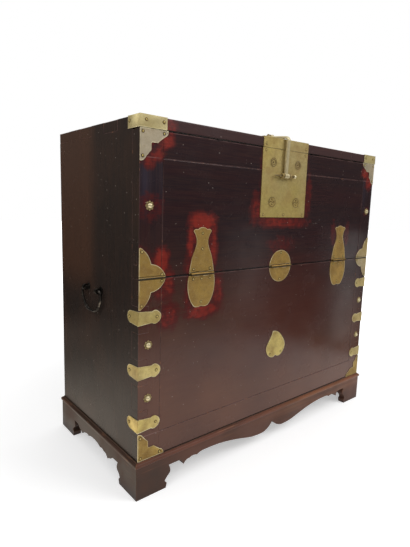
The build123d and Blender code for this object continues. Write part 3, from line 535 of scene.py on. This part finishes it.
def aged_brass(name, metal, roughness, dent, patina_share, grey_share=0.0, shine=0.78, cracks=()):
    """Sheet or cast brass, hammered, filed and left to tarnish for a century.

    The eye gets an olive-gold metal with brown tarnish in clouds and pits, faint hammer dents,
    polishing scratches, and an edge that wiping keeps bright.
    """
    tones = bpy.context.scene.bandaji_brass
    material, shader, place = start_material(name)
    clouds = patches(place, 34, 0.36, 0.66)
    stains = patches(place, 7, 0.5, 0.72)
    pits = specks(place, 7, 1.0, 0.3)
    bloom = patches(place, 240, 0.45, 0.6)
    # Real polishing scratches are 0.05 mm wide: they are drawn as coarse as they need to show.
    scored = scratches(place, (0, 1, 0), 12, 22, 0.25, 0.72)
    crossed = scratches(place, (0, 1, 0), -55, 16, 0.25, 0.74)
    lines = either(scored, crossed)
    wiped = both(painted(place, "edge_wear"), patches(place, 36, 0.3, 0.62))
    height = put(place, "SeparateXYZ", {0: place}).outputs["Z"]
    layers = (
        (bloom, grey_share, tones.grey),
        (clouds, patina_share, tones.patina),
        (stains, 0.5 * patina_share, tones.patina),
        (pits, 0.7, tones.patina),
        (lines, 0.25, tones.rim),
        (wiped, 0.8, tones.rim),
        *((near(height, middle, reach), 0.9, tones.grime) for middle, reach in cracks),
    )
    tarnish = either(clouds, stains)
    fill(shader, {
        "Base Color": lay_colours(place, metal, layers),
        "Metallic": swayed(shine, tarnish, -0.25),
        "Roughness": swayed(roughness, tarnish, 0.18),
    })
    hammered = patches(place, dent, 0.2, 0.8, detail=0.0)
    lay_heights(shader, ((hammered, 0.32 * MM), (stains, 0.02 * MM), (pits, -0.08 * MM), (lines, -0.02 * MM)))
    return material


def caked_grime(name):
    """Old polish and dirt on brass: the eye gets a dull dark ring that sets off what it surrounds."""
    return aged_brass(name, bpy.context.scene.bandaji_brass.grime, 0.7, 9, 0.6, shine=0.3)


def forged_iron(name):
    """Hand-forged iron under black scale, worn by hands.

    The eye gets a near-black rod with hammer flats and thin bright lines where it is rubbed.
    """
    tones = bpy.context.scene.bandaji_iron
    material, shader, place = start_material(name)
    rubbed = patches(place, 9, 0.5, 0.72)
    rusted = patches(place, 5, 0.55, 0.75)
    layers = ((rubbed, 0.75, tones.worn), (rusted, 0.4, tones.rust))
    fill(shader, {
        "Base Color": lay_colours(place, tones.scale, layers),
        "Metallic": 0.85,
        "Roughness": swayed(0.46, rubbed, -0.2),
    })
    flats = patches(place, 6, 0.2, 0.8, detail=0.0)
    lay_heights(shader, ((flats, 0.25 * MM), (rusted, 0.04 * MM)))
    return material


def seen_directly(beside):
    """1 for the camera's rays and for those that metal, gloss or glass send on."""
    path = put(beside, "LightPath").outputs
    return either(either(path["Is Camera Ray"], path["Is Glossy Ray"]), path["Is Transmission Ray"])


# ---- Meshes -------------------------------------------------------------------------------


def cleaned(node):
    """An editable copy of a CAD node, with its corners welded and its flat faces whole."""
    bm = bmesh.new()
    bm.from_mesh(frame["nodes"][node].data)
    bmesh.ops.remove_doubles(bm, verts=bm.verts, dist=WELD)
    bmesh.ops.dissolve_limit(bm, angle_limit=FLAT, verts=bm.verts, edges=bm.edges)
    bm.verts.index_update()
    bm.faces.index_update()
    return bm


def soften(bm, width, segments=2):
    """Round the outward sharp edges, and mark the new strips."""
    strip = bm.faces.layers.int.get("edge_strip") or bm.faces.layers.int.new("edge_strip")
    sharp = [e for e in bm.edges if len(e.link_faces) == 2 and e.calc_face_angle_signed(0) > SHARP]
    made = bmesh.ops.bevel(
        bm, geom=sharp, offset=width, segments=segments, profile=0.5, affect="EDGES", clamp_overlap=True
    )
    for face in made["faces"]:
        face[strip] = 1


def paint_edges(bm):
    """Write edge_wear on the mesh: 1 along the middle of each rounded edge, 0 elsewhere."""
    strip = bm.faces.layers.int.get("edge_strip")
    wear = bm.verts.layers.float.new("edge_wear")
    for vert in bm.verts:
        vert[wear] = float(all(face[strip] for face in vert.link_faces))


def mitre(ways):
    """The step that moves a corner by one unit away from both of the lines or faces that meet there."""
    first, second = ways[0], ways[-1]
    return (first + second) / max(1 + first.dot(second), MITRE_LIMIT)


def raise_rim(bm, outward):
    """Round a plate's edge, leave a raised bright rim along it and sink the field inside."""
    brass = bpy.context.scene.bandaji_brass
    wide, high = brass.rim_width, brass.rim_height
    wear = bm.verts.layers.float.new("edge_wear")
    # Each ring from the plate's outline inward: how far in and how high, in shares of the rim's
    # width and height, and how bright.
    shares = ((0, -1, 0.4), (0.08, -0.3, 1), (0.27, 0, 1), (0.73, 0, 1), (1, -1, 0))
    rings = [(inset * wide, height * high, shine) for inset, height, shine in shares]
    field = [
        f for f in bm.faces
        if f.calc_area() > SMALLEST_FIELD and max(f.normal.dot(Vector(way)) for way in outward) > FACING
    ]
    chosen = {f.index for f in field}
    border, inward, facing = [], {}, {}
    for face in field:
        for loop in face.loops:
            if sum(other.index in chosen for other in loop.edge.link_faces) != 1:
                continue
            here, there = loop.vert, loop.link_loop_next.vert
            across = face.normal.cross((there.co - here.co).normalized())
            border.append((here, there))
            for vert in (here, there):
                inward.setdefault(vert, []).append(across)
                facing.setdefault(vert, []).append(face.normal.copy())
    rows = []
    for inset, height, _ in rings:
        row = {v: v.co + mitre(inward[v]) * inset + mitre(facing[v]) * height for v in inward}
        # Where the outline curves so tightly that a ring would turn back on itself, its corners join.
        for _ in range(JOIN_PASSES):
            for here, there in border:
                if (row[there] - row[here]).dot(there.co - here.co) < 0:
                    row[here] = row[there] = (row[here] + row[there]) / 2
        rows.append(row)
    sunk = {}
    for face in field:
        for vert in face.verts:
            if vert not in inward:
                ways = sunk.setdefault(vert, [])
                if all(face.normal.dot(way) < FACING for way in ways):
                    ways.append(face.normal.copy())
    made = [{v: v for v in inward}]
    for row, (_, _, shine) in zip(rows[1:], rings[1:]):
        made.append({v: bm.verts.new(spot) for v, spot in row.items()})
        for vert in made[-1].values():
            vert[wear] = shine
    for outer, inner in zip(made, made[1:]):
        for here, there in border:
            bm.faces.new((outer[here], outer[there], inner[there], inner[here]))
    for face in field:
        if any(v in inward for v in face.verts):
            bm.faces.new([made[-1].get(v, v) for v in face.verts])
        else:
            chosen.discard(face.index)
    old = [f for f in field if f.index in chosen]
    for vert, spot in rows[0].items():
        vert.co = spot
        vert[wear] = rings[0][2]
    for vert, ways in sunk.items():
        vert.co -= sum(ways, Vector()) * high
    bmesh.ops.delete(bm, geom=old, context="FACES")
    bmesh.ops.remove_doubles(bm, verts=bm.verts, dist=0.5 * WELD)
    bm.normal_update()


def dice(bm, low, high):
    """Cut a board into squares in X and Z, so that values on its mesh can vary."""
    for axis, normal in ((0, (1, 0, 0)), (2, (0, 0, 1))):
        for i in range(1, int((high[axis] - low[axis]) / DICE) + 1):
            geom = bm.verts[:] + bm.edges[:] + bm.faces[:]
            cut = low.copy()
            cut[axis] += i * DICE
            bmesh.ops.bisect_plane(bm, geom=geom, plane_co=cut, plane_no=normal)


def surface_of(node):
    """A search tree of a CAD node's surface."""
    mesh = frame["nodes"][node].data
    return BVHTree.FromPolygons([v.co for v in mesh.vertices], [p.vertices for p in mesh.polygons])


def worn_by_hand(place):
    """How far hands have worn the lacquer at a place on the front, 0 to 1."""
    wander, per_metre, margin = 7, 40, 6
    fade_end, fade_width = 1.45, 0.8
    x = place.x / MM + wander * noise.noise(place * per_metre)
    z = place.z / MM + wander * noise.noise(place * per_metre + Vector((9, 9, 9)))
    most = 0.0
    for middle_x, middle_z, half_width, half_height, strength in WORN:
        away = math.hypot((x - middle_x) / (half_width + margin), (z - middle_z) / (half_height + margin))
        most = max(most, strength * min(max((fade_end - away) / fade_width, 0), 1))
    return most


def paint_wear(bm, front, brass):
    """Write worn_lacquer on the front of a board: hand-worn patches, and a thin ring round the brass."""
    skin = 2 * MM            # a corner that lies deeper than this isn't on the front
    ring_strength = 0.8
    layer = bm.verts.layers.float.new("worn_lacquer")
    for vert in bm.verts:
        if vert.co.y > front + skin:
            continue
        vert[layer] = worn_by_hand(vert.co)
        for surface, strength in brass:
            away = surface.find_nearest(vert.co, 4 * RING_REACH)[3]
            if away is not None:
                vert[layer] = max(vert[layer], ring_strength * strength * math.exp(-away / RING_REACH))


def put_in_scene(name, data):
    """A new object in the scene, for a mesh, a lamp or a camera."""
    thing = bpy.data.objects.new(name, data)
    bpy.context.scene.collection.objects.link(thing)
    return thing


def put_mesh_in_scene(name, bm, materials):
    """A new object in the scene, for an editable mesh that is done with."""
    mesh = bpy.data.meshes.new(name)
    bm.to_mesh(mesh)
    bm.free()
    for material in materials:
        mesh.materials.append(material)
    return put_in_scene(name, mesh)


def make_piece(name, bm, body, slot, materials, *nodes):
    """Turn the finished mesh into a smooth-shaded piece that rides on a body, and hide the nodes it takes the
    place of.
    """
    piece = put_mesh_in_scene(name, bm, materials)
    piece.data.shade_smooth()
    piece.data.set_sharp_from_angle(angle=SMOOTH_UP_TO)
    piece.modifiers.new("face_weighted_shading", "WEIGHTED_NORMAL").keep_sharp = True
    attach(piece, body)
    if nodes:
        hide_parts(*nodes)


def dress(node, slot, material, width, segments=2, rework=None, ending="_finished"):
    """Replace a CAD node by the same shape with softened edges, which rework may change further."""
    bm = cleaned(node)
    soften(bm, width, segments)
    paint_edges(bm)
    if rework:
        rework(bm)
    make_piece(node + ending, bm, body_of(node), slot, [material], node)


def rub_bright(bm, stands_out):
    """Mark the corners of an edge-painted mesh that stand out, which wiping keeps bright."""
    wear = bm.verts.layers.float["edge_wear"]
    for vert in bm.verts:
        if stands_out(vert.co):
            vert[wear] = RUBBED_BRIGHT


def body_of(node):
    """The body that a CAD node rides on."""
    return frame["nodes"][node]["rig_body"]


def solids_of(node):
    """The lowest and highest corners of each separate solid of a CAD node, in the mesh's order."""
    bm = cleaned(node)
    seen, found = set(), []
    for first in bm.verts:
        waiting, corners = [first], []
        while waiting:
            vert = waiting.pop()
            if vert.index not in seen:
                seen.add(vert.index)
                corners.append(vert.co.copy())
                waiting.extend(edge.other_vert(vert) for edge in vert.link_edges)
        if corners:
            found.append([Vector([pick(c[i] for c in corners) for i in range(3)]) for pick in (min, max)])
    bm.free()
    return found


def seat_of(low, high):
    """Where a nail or boss sits on its plate, and a matrix whose Z points away from the plate."""
    size = high - low
    middle = (low + high) / 2
    thin = min(range(3), key=lambda axis: size[axis])
    out = (Vector((math.copysign(1, middle.x), 0, 0)), Vector(OUTWARD), Vector((0, 0, 1)))[thin]
    seat = middle - out * size[thin] / 2
    turn = out.to_track_quat("Z", "Y").to_matrix().to_4x4()
    return Matrix.Translation(seat) @ turn


def add_rings(bm, matrix, profile, count, petals=0, flare=0.0, closed=True):
    """Add a turned shape from its (radius, height) profile, with petals where flare is given."""
    rings = []
    for radius, height in profile:
        ring = []
        for i in range(count):
            angle = 2 * math.pi * i / count
            lobe = abs(math.cos(petals * angle / 2)) if petals else 1.0
            reach = radius * (1 - flare * (1 - lobe))
            spot = Vector((reach * math.cos(angle), reach * math.sin(angle), height))
            ring.append(bm.verts.new(matrix @ spot))
        rings.append(ring)
    for inner, outer in zip(rings, rings[1:]):
        for i in range(count):
            j = (i + 1) % count
            bm.faces.new((outer[i], outer[j], inner[j], inner[i]))
    if closed:
        bm.faces.new(rings[0])


def dome(radius, tall, degrees, base=0.0):
    """The profile of a dome from near its top to its foot, for add_rings."""
    angles = [math.radians(a) for a in reversed(degrees)]
    return [(radius * math.cos(a), base + tall * math.sin(a)) for a in angles]


# ---- Pieces -------------------------------------------------------------------------------


def coat_of(normal):
    """Which coat a face of a board takes."""
    if abs(normal.x) > MOSTLY:
        return SIDE_COAT
    if abs(normal.y) > MOSTLY:
        return FRONT_COAT if normal.y < 0 else BACK_COAT
    return TOP_COAT if normal.z > MOSTLY else SIDE_COAT


class FinishBoards(Operator):
    """Soften and lacquer the boards of the chest and of its door"""
    bl_idname = "bandaji.finish_boards"
    bl_label = "Finish the boards"

    def execute(self, context):
        tones = context.scene.bandaji_lacquer
        along, upright = (26, 1, 1), (1, 1, 26)
        across_x, across_y, across_z = (1, 0, 0), (0, 1, 0), (0, 0, 1)
        lying = partial(front_layers, grain=along, upright=False)
        standing = partial(front_layers, grain=upright, upright=True)
        side = lacquered_wood("lacquer_on_sides", tones.side, upright, across_x, 0.22, side_layers, 0.8, 0.13)
        top = lacquered_wood("lacquer_on_top", tones.plum, along, across_z, 0.26)
        back = lacquered_wood("thin_lacquer_on_back", tones.back, along, across_y, 0.5, None, 0.5)
        front_along = lacquered_wood("lacquer_on_front", tones.plum, along, across_y, 0.2, lying)
        front_upright = lacquered_wood("lacquer_on_stiles", tones.plum, upright, across_y, 0.2, standing)
        brass = [(surface_of(node), strength) for node, strength in RINGED.items()]
        for node in FRONT_ALONG + FRONT_UPRIGHT + SIDE_BOARDS + ("top_board", "bottom_board") + BACK_BOARDS:
            bm = cleaned(node)
            soften(bm, tones.board_edge * (1.5 if node == "top_board" else 0.6))
            if node not in BACK_BOARDS:
                low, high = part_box(node)
                dice(bm, low, high)
                paint_wear(bm, low.y, brass)
            paint_edges(bm)
            for face in bm.faces:
                face.material_index = coat_of(face.normal)
            front = front_along if node in FRONT_ALONG + ("top_board",) else front_upright
            slot = "lacquered_front" if node in FRONT_ALONG + FRONT_UPRIGHT else "lacquered_case"
            make_piece(node + "_finished", bm, body_of(node), slot, (front, side, top, back), node)
        return {"FINISHED"}


class FinishStand(Operator):
    """Soften, stain and wear the moulding and the aprons of the stand"""
    bl_idname = "bandaji.finish_stand"
    bl_label = "Finish the stand"

    def execute(self, context):
        tones = context.scene.bandaji_stand
        for name in ("front", "back", "left", "right"):
            # The left and right copies are darkened with painted shade.
            grain, side_shade = ((24, 1, 1), 0.0) if name in ("front", "back") else ((1, 24, 1), 0.88)
            moulding = stained_wood(f"stained_moulding_{name}", tones.moulding, grain, 0.28, 0.9, side_shade)
            apron = stained_wood(f"stained_apron_{name}", tones.apron, grain, 0.4, 0.3, side_shade)
            dress(f"stand_{name}_rail", "stand_wood", moulding, 0.6 * tones.edge)
            dress(f"stand_{name}_apron", "stand_wood", apron, tones.edge)
        blocks = stained_wood("stained_glue_blocks", tones.apron, (1, 1, 20), 0.7, 0.2)
        dress("stand_corner_blocks", "stand_wood", blocks, tones.edge)
        return {"FINISHED"}


class FinishPlates(Operator):
    """Give the sheet brass its raised rims, dents and tarnish"""
    bl_idname = "bandaji.finish_plates"
    bl_label = "Finish the brass plates"

    # Each colour of sheet brass: its material, roughness, patina, grey bloom, and whether the gap
    # between the door and the lower front runs across it.
    sheets = {
        "sheet": ("tarnished_sheet_brass", 0.42, 0.6, 0.3, False),
        "grey": ("greyed_sheet_brass", 0.42, 0.35, 0.6, False),
        "browned": ("browned_sheet_brass", 0.42, 0.75, 0.0, True),
        "dulled": ("dulled_sheet_brass", 0.42, 0.55, 0.6, True),
        "earthy": ("brown_corner_brass", 0.5, 0.85, 0.0, False),
        "pale": ("pale_sheet_brass", 0.42, 0.35, 0.3, False),
    }
    # Grime round the lock plate's keyholes and roundels, in mm: x to each side of the middle, z from
    # the plate's lower (0) or upper (1) end, and the ring's inner and outer radius.
    moats = ((50, 1, -35, 6.4, 7.9), (50, 1, -35, 9.9, 11.3), (49, 0, 40.5, 11.9, 13.1))

    def execute(self, context):
        tones = context.scene.bandaji_brass
        # The gap and a thin line over it: each one's middle height, and how far it reaches up and down.
        gap = ((SEAM - 1.3 * MM, 2.3 * MM), (SEAM + 3.9 * MM, 0.7 * MM))
        brass = {}
        for tone, (name, roughness, patina, bloom, split) in self.sheets.items():
            cracks = gap if split else ()
            brass[tone] = aged_brass(name, getattr(tones, tone), roughness, 16, patina, bloom, cracks=cracks)
        front = (OUTWARD,)
        rimmed = [("peach_plate", front, "sheet")]
        for hand, side in SIDES:
            folded = front + ((side, 0, 0), (0, 0, 1))
            edge = "browned" if hand == "left" else "dulled"
            rimmed += [
                (f"{hand}_door_corner_plate", front, "grey"),
                (f"{hand}_bottom_corner_plate", front, "earthy"),
                (f"{hand}_edge_plate_upper", front, edge),
                (f"{hand}_edge_plate_lower", front, edge),
                (f"{hand}_corner_straps", folded, "sheet"),
                (f"{hand}_top_corner_cap", folded, "pale"),
            ]
        for hinge in HINGES:
            rimmed += [(f"{hinge}_{leaf}_leaf", front, "browned") for leaf in ("upper", "lower")]
        for node, outward, tone in rimmed:
            bm = cleaned(node)
            raise_rim(bm, outward)
            make_piece(node + "_finished", bm, body_of(node), "sheet_brass", [brass[tone]], node)
        self.finish_lock_plate(brass["sheet"])
        dress("top_lock_plate", "sheet_brass", brass["sheet"], 0.4 * MM)
        dress("hinge_pins", "sheet_brass", brass["browned"], 0.3 * MM)
        return {"FINISHED"}

    def finish_lock_plate(self, sheet):
        """The lock plate has no rim, but its keyholes and roundels stand up and are rubbed bright."""
        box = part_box("door_lock_plate")
        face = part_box("top_lock_plate")[0].y
        raised, lift = 0.3 * MM, 0.08 * MM
        dress(
            "door_lock_plate", "sheet_brass", sheet, 0.35 * MM,
            rework=lambda bm: rub_bright(bm, lambda spot: spot.y < face - raised),
        )
        turn = Vector(OUTWARD).to_track_quat("Z", "Y").to_matrix().to_4x4()
        rings = bmesh.new()
        for x, end, z, inner, outer in self.moats:
            for _, side in SIDES:
                middle = Matrix.Translation((side * x * MM, face, box[end].z + z * MM)) @ turn
                add_rings(rings, middle, ((inner * MM, lift), (outer * MM, lift)), 40, closed=False)
        make_piece("door_lock_plate_grime", rings, "door", "sheet_brass", [caked_grime("grime_round_rims")])


class FinishNails(Operator):
    """Put a domed, slightly uneven brass head with a dark ring on each nail"""
    bl_idname = "bandaji.finish_nails"
    bl_label = "Finish the nails"

    def execute(self, context):
        brass = context.scene.bandaji_brass
        bright = aged_brass("rubbed_nail_brass", brass.sheet, 0.4, 9, 0.4)
        grime = caked_grime("grime_round_nails")
        draw = random.Random(7)
        for body in ("carcass", "door"):
            heads, rings = bmesh.new(), bmesh.new()
            for low, high in solids_of(f"{body}_nails"):
                seat = seat_of(low, high)
                radius = max(high - low) / 2 * draw.uniform(0.86, 1.0)
                tilt = Matrix.Rotation(math.radians(draw.uniform(-5, 5)), 4, "X")
                tilt @= Matrix.Rotation(math.radians(draw.uniform(-5, 5)), 4, "Y")
                tall = brass.nail_height * draw.uniform(0.8, 1.0)
                add_rings(heads, seat @ tilt, dome(radius, tall, (0, 18, 36, 54, 72, 84)), 16)
                add_rings(rings, seat, ((1.5 * radius, 0.1 * MM), (1.7 * radius, 0.0)), 20)
            make_piece(f"{body}_nail_heads", heads, body, "brass_nails", [bright], f"{body}_nails")
            make_piece(f"{body}_nail_grime", rings, body, "brass_nails", [grime])
        return {"FINISHED"}


class FinishFlowers(Operator):
    """Shape the flower bosses: cupped petals round a bright dome, with grime between them"""
    bl_idname = "bandaji.finish_flowers"
    bl_label = "Finish the flower bosses"

    petals = 8
    flare = 0.24      # how far the petals draw in between their tips
    # Profiles of the petals and of the grime inside them, in shares of the boss's radius and height.
    leaf = ((0.50, 0.02), (0.66, 0.05), (0.76, 0.22), (0.86, 0.32), (0.95, 0.20), (1, 0.08), (1, 0))
    moat = ((0.45, 0.1), (0.69, 0.1))
    bowl = 0.58       # the dome's share of the radius
    around, petals_around = 32, 96

    def execute(self, context):
        tones = context.scene.bandaji_brass
        petal = aged_brass("petal_brass", tones.petal, 0.36, 8, 0.5, shine=0.6)
        bright = aged_brass("rubbed_boss_brass", tones.cast, 0.25, 14, 0.15, shine=0.7)
        grime = caked_grime("grime_in_flowers")
        for body in ("carcass", "door"):
            node = f"{body}_flower_bosses"
            flowers, domes, moats = bmesh.new(), bmesh.new(), bmesh.new()
            for low, high in solids_of(node):
                seat = seat_of(low, high)
                radius, tall = (high.z - low.z) / 2, high.y - low.y
                leaf, moat = [
                    [(out * radius, up * tall) for out, up in profile] for profile in (self.leaf, self.moat)
                ]
                add_rings(flowers, seat, leaf, self.petals_around, self.petals, self.flare)
                add_rings(moats, seat, moat, self.around, closed=False)
                cup = dome(self.bowl * radius, 0.9 * tall, range(0, 85, 12), 0.1 * tall)
                add_rings(domes, seat, cup, self.around)
            make_piece(f"{body}_flower_petals", flowers, body, "sheet_brass", [petal], node)
            make_piece(f"{body}_flower_domes", domes, body, "sheet_brass", [bright])
            make_piece(f"{body}_flower_grime", moats, body, "sheet_brass", [grime])
        return {"FINISHED"}


class FinishLock(Operator):
    """Finish the lock bar, its pin, staples and keeper in filed cast brass"""
    bl_idname = "bandaji.finish_lock"
    bl_label = "Finish the lock"

    ball = 8 * MM     # how far the ball reaches in from the pin's right end

    def execute(self, context):
        tones = context.scene.bandaji_brass
        cast = aged_brass("filed_cast_brass", tones.cast, 0.28, 14, 0.42, shine=0.72)
        dark = aged_brass("dark_pin_brass", tones.pin, 0.34, 12, 0.5)
        dull = aged_brass("dull_staple_brass", tones.staple, 0.4, 12, 0.6, shine=0.6)
        dress("lock_bar", "cast_brass", cast, 1.6 * MM, 4)
        dress("lock_keeper", "cast_brass", dull, 0.5 * MM)
        dress("door_lock_staples", "cast_brass", dull, 0.5 * MM)
        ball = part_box("lock_pin")[1].x - self.ball
        dress(
            "lock_pin", "lock_pin_brass", dark, 0.3 * MM,
            rework=lambda bm: rub_bright(bm, lambda spot: spot.x > ball),
        )
        return {"FINISHED"}


class FinishHandles(Operator):
    """Hammer and blacken the iron bails and their eye posts"""
    bl_idname = "bandaji.finish_handles"
    bl_label = "Finish the handles"

    flats = 11 * MM      # size and depth of the hammer marks
    depth = 0.45 * MM

    def execute(self, context):
        iron = forged_iron("blackened_forged_iron")
        for hand, _ in SIDES:
            for node in (f"{hand}_bail", f"{hand}_handle_posts"):
                dress(node, "handle_iron", iron, 0.4 * MM, rework=self.hammer, ending="_forged")
        return {"FINISHED"}

    def hammer(self, bm):
        """Beat flats into the iron."""
        for vert in bm.verts:
            beat = noise.noise(vert.co / self.flats) * self.depth
            vert.co += vert.normal * (beat - 0.5 * self.depth)


class MakeStage(Operator):
    """Set up the pale floor, the cloths that gloss shows, the soft lamps and the camera"""
    bl_idname = "bandaji.make_stage"
    bl_label = "Make the stage"

    camera_place = (-0.9124, -0.9940, 0.6770)
    camera_turn = (81.503, -1.955, -40.443)
    camera_shift = (-0.0196, -0.0098)
    floor_size = 24.0
    curtain_height = 1.6
    lamp_target = (0, 0, 0.45)       # the middle of the chest
    curtain_foot = (
        (-1.80, -1.15), (0.37, -1.08), (0.67, -0.96), (0.73, -0.76), (0.78, -0.61), (0.83, -0.50),
        (1.30, 0.30), (1.30, 1.20), (0.30, 1.60), (-0.60, 1.45), (-0.87, 1.24), (-1.12, 1.02), (-1.80, 0.40),
    )
    # Cards: the foot's two ends (x, y), the lowest and highest z.
    cards = (
        ((0.470, -0.876), (0.642, -0.876), 0.146, 0.580),
        ((0.631, -0.444), (0.809, -0.444), 0.096, 0.577),
        ((0.660, -0.590), (0.735, -0.640), 0.580, 0.670),
    )
    # The mat's lowest x and y, then its highest.
    mat = (-1.9, -0.7, -0.47, 1.6)
    mat_height = 1.5 * MM

    def execute(self, context):
        stage = context.scene.bandaji_stage
        self.make_floor(stage)
        self.make_cloths(stage)
        self.make_world(context.scene, stage)
        self.make_lamps(stage)
        self.make_camera(context.scene, stage)
        context.scene.view_settings.view_transform = "Standard"
        return {"FINISHED"}

    def set_up(self, name, bm, material):
        """Put a piece of the stage in the scene."""
        thing = put_mesh_in_scene(name, bm, [material])
        return thing

    def make_floor(self, stage):
        """A floor that is white to the eye and in reflections, and keeps the chest's shadow."""
        bm = bmesh.new()
        bmesh.ops.create_grid(bm, x_segments=8, y_segments=8, size=self.floor_size / 2)
        material, shader, place = start_material("matt_studio_paper")
        glow = both(seen_directly(place), between(length_after(place), 0.6, 2.0, 0.42, 1.0))
        fill(shader, {
            "Base Color": rgba(stage.floor),
            "Roughness": 0.9,
            "Specular IOR Level": 0.0,
            "Emission Color": WHITE,
            "Emission Strength": glow,
        })
        self.set_up("studio_floor", bm, material)

    def make_cloths(self, stage):
        """A dark curtain, pale cards before it and a mat: gloss shows them, and nothing else does."""
        ends = zip(self.curtain_foot, self.curtain_foot[1:] + self.curtain_foot[:1])
        walls = [(here, there, 0.0, self.curtain_height) for here, there in ends]
        left, front, right, back = self.mat
        corners = ((left, front), (right, front), (right, back), (left, back))
        mat = [(x, y, self.mat_height) for x, y in corners]
        # Each cloth: its colour, its sheets, the axis it fades along, and from where to where it goes
        # from one strength to another.
        cloths = (
            ("curtain", stage.curtain, [self.upright(*wall) for wall in walls], "Z", (0.2, 1.3, 0.0, 1.0)),
            ("card", stage.card, [self.upright(*card) for card in self.cards], "Z", (0.0, 0.1, 1.3, 1.3)),
            ("mat", stage.mat, [mat], "Y", (0.0, 0.9, 1.7, 0.3)),
        )
        for name, tone, sheets, axis, fade in cloths:
            bm = bmesh.new()
            for spots in sheets:
                bm.faces.new([bm.verts.new(spot) for spot in spots])
            material, shader, place = start_material(f"matt_{name}_cloth")
            along = put(place, "SeparateXYZ", {0: place}).outputs[axis]
            glow = put(place, "Emission", {"Color": rgba(tone), "Strength": between(along, *fade)}).outputs[0]
            nodes = material.node_tree.nodes
            fill(nodes["Material Output"], {"Surface": glow})
            nodes.remove(shader)
            cloth = self.set_up(f"studio_{name}", bm, material)
            cloth.visible_camera = cloth.visible_diffuse = cloth.visible_shadow = False
            cloth.visible_transmission = cloth.visible_volume_scatter = False

    def upright(self, here, there, low, high):
        """The four corners of a cloth that hangs between two places on the floor."""
        return ((*here, low), (*there, low), (*there, high), (*here, high))

    def make_world(self, scene, stage):
        """White where it is seen, and an even soft light on the chest."""
        world = bpy.data.worlds.new("studio")
        world.use_nodes = True
        background = world.node_tree.nodes["Background"]
        strength = put(background, "Mix", {0: seen_directly(background), 2: stage.fill, 3: 1.0}).outputs[0]
        fill(background, {"Color": WHITE, "Strength": strength})
        scene.world = world

    def make_lamps(self, stage):
        """Large soft lamps: one from the front right and above, one from the left."""
        for name, place, size, power in (
            ("key_lamp", (1.5, -2.4, 2.7), 1.8, stage.key),
            ("side_lamp", (-2.6, -0.9, 2.2), 1.4, 0.35 * stage.key),
        ):
            light = bpy.data.lights.new(name, "AREA")
            light.energy = power
            light.size = size
            lamp = put_in_scene(name, light)
            lamp.location = place
            aim = Vector(self.lamp_target) - Vector(place)
            lamp.rotation_euler = aim.to_track_quat("-Z", "Y").to_euler()

    def make_camera(self, scene, stage):
        """A wide lens at chest height, off the left front corner."""
        data = bpy.data.cameras.new("chest_camera")
        data.sensor_fit = "VERTICAL"
        data.sensor_height = 36
        data.lens = stage.lens
        data.shift_x, data.shift_y = self.camera_shift
        camera = put_in_scene("chest_camera", data)
        camera.location = self.camera_place
        camera.rotation_euler = [math.radians(a) for a in self.camera_turn]
        scene.camera = camera


STEPS = (
    FinishBoards,
    FinishStand,
    FinishPlates,
    FinishNails,
    FinishFlowers,
    FinishLock,
    FinishHandles,
    MakeStage,
)


class BandajiPanel(Panel):
    """Lists the steps that finish the chest"""
    bl_idname = "VIEW3D_PT_bandaji"
    bl_label = "Bandaji"
    bl_space_type = "VIEW_3D"
    bl_region_type = "UI"
    bl_category = "Bandaji"

    def draw(self, context):
        for step in STEPS:
            self.layout.operator(step.bl_idname)
        for group in GROUPS:
            settings = getattr(context.scene, group)
            box = self.layout.box()
            for name in settings.__annotations__:
                box.prop(settings, name)


CLASSES = (*GROUPS.values(), *STEPS, BandajiPanel)


def register():
    for item in CLASSES:
        bpy.utils.register_class(item)
    for name, group in GROUPS.items():
        setattr(bpy.types.Scene, name, PointerProperty(type=group))


def unregister():
    for name in GROUPS:
        delattr(bpy.types.Scene, name)
    for item in reversed(CLASSES):
        bpy.utils.unregister_class(item)


def main():
    register()
    for step in STEPS:
        family, name = step.bl_idname.split(".")
        getattr(getattr(bpy.ops, family), name)()
    bpy.context.view_layer.update()


if __name__ == "__main__":
    main()
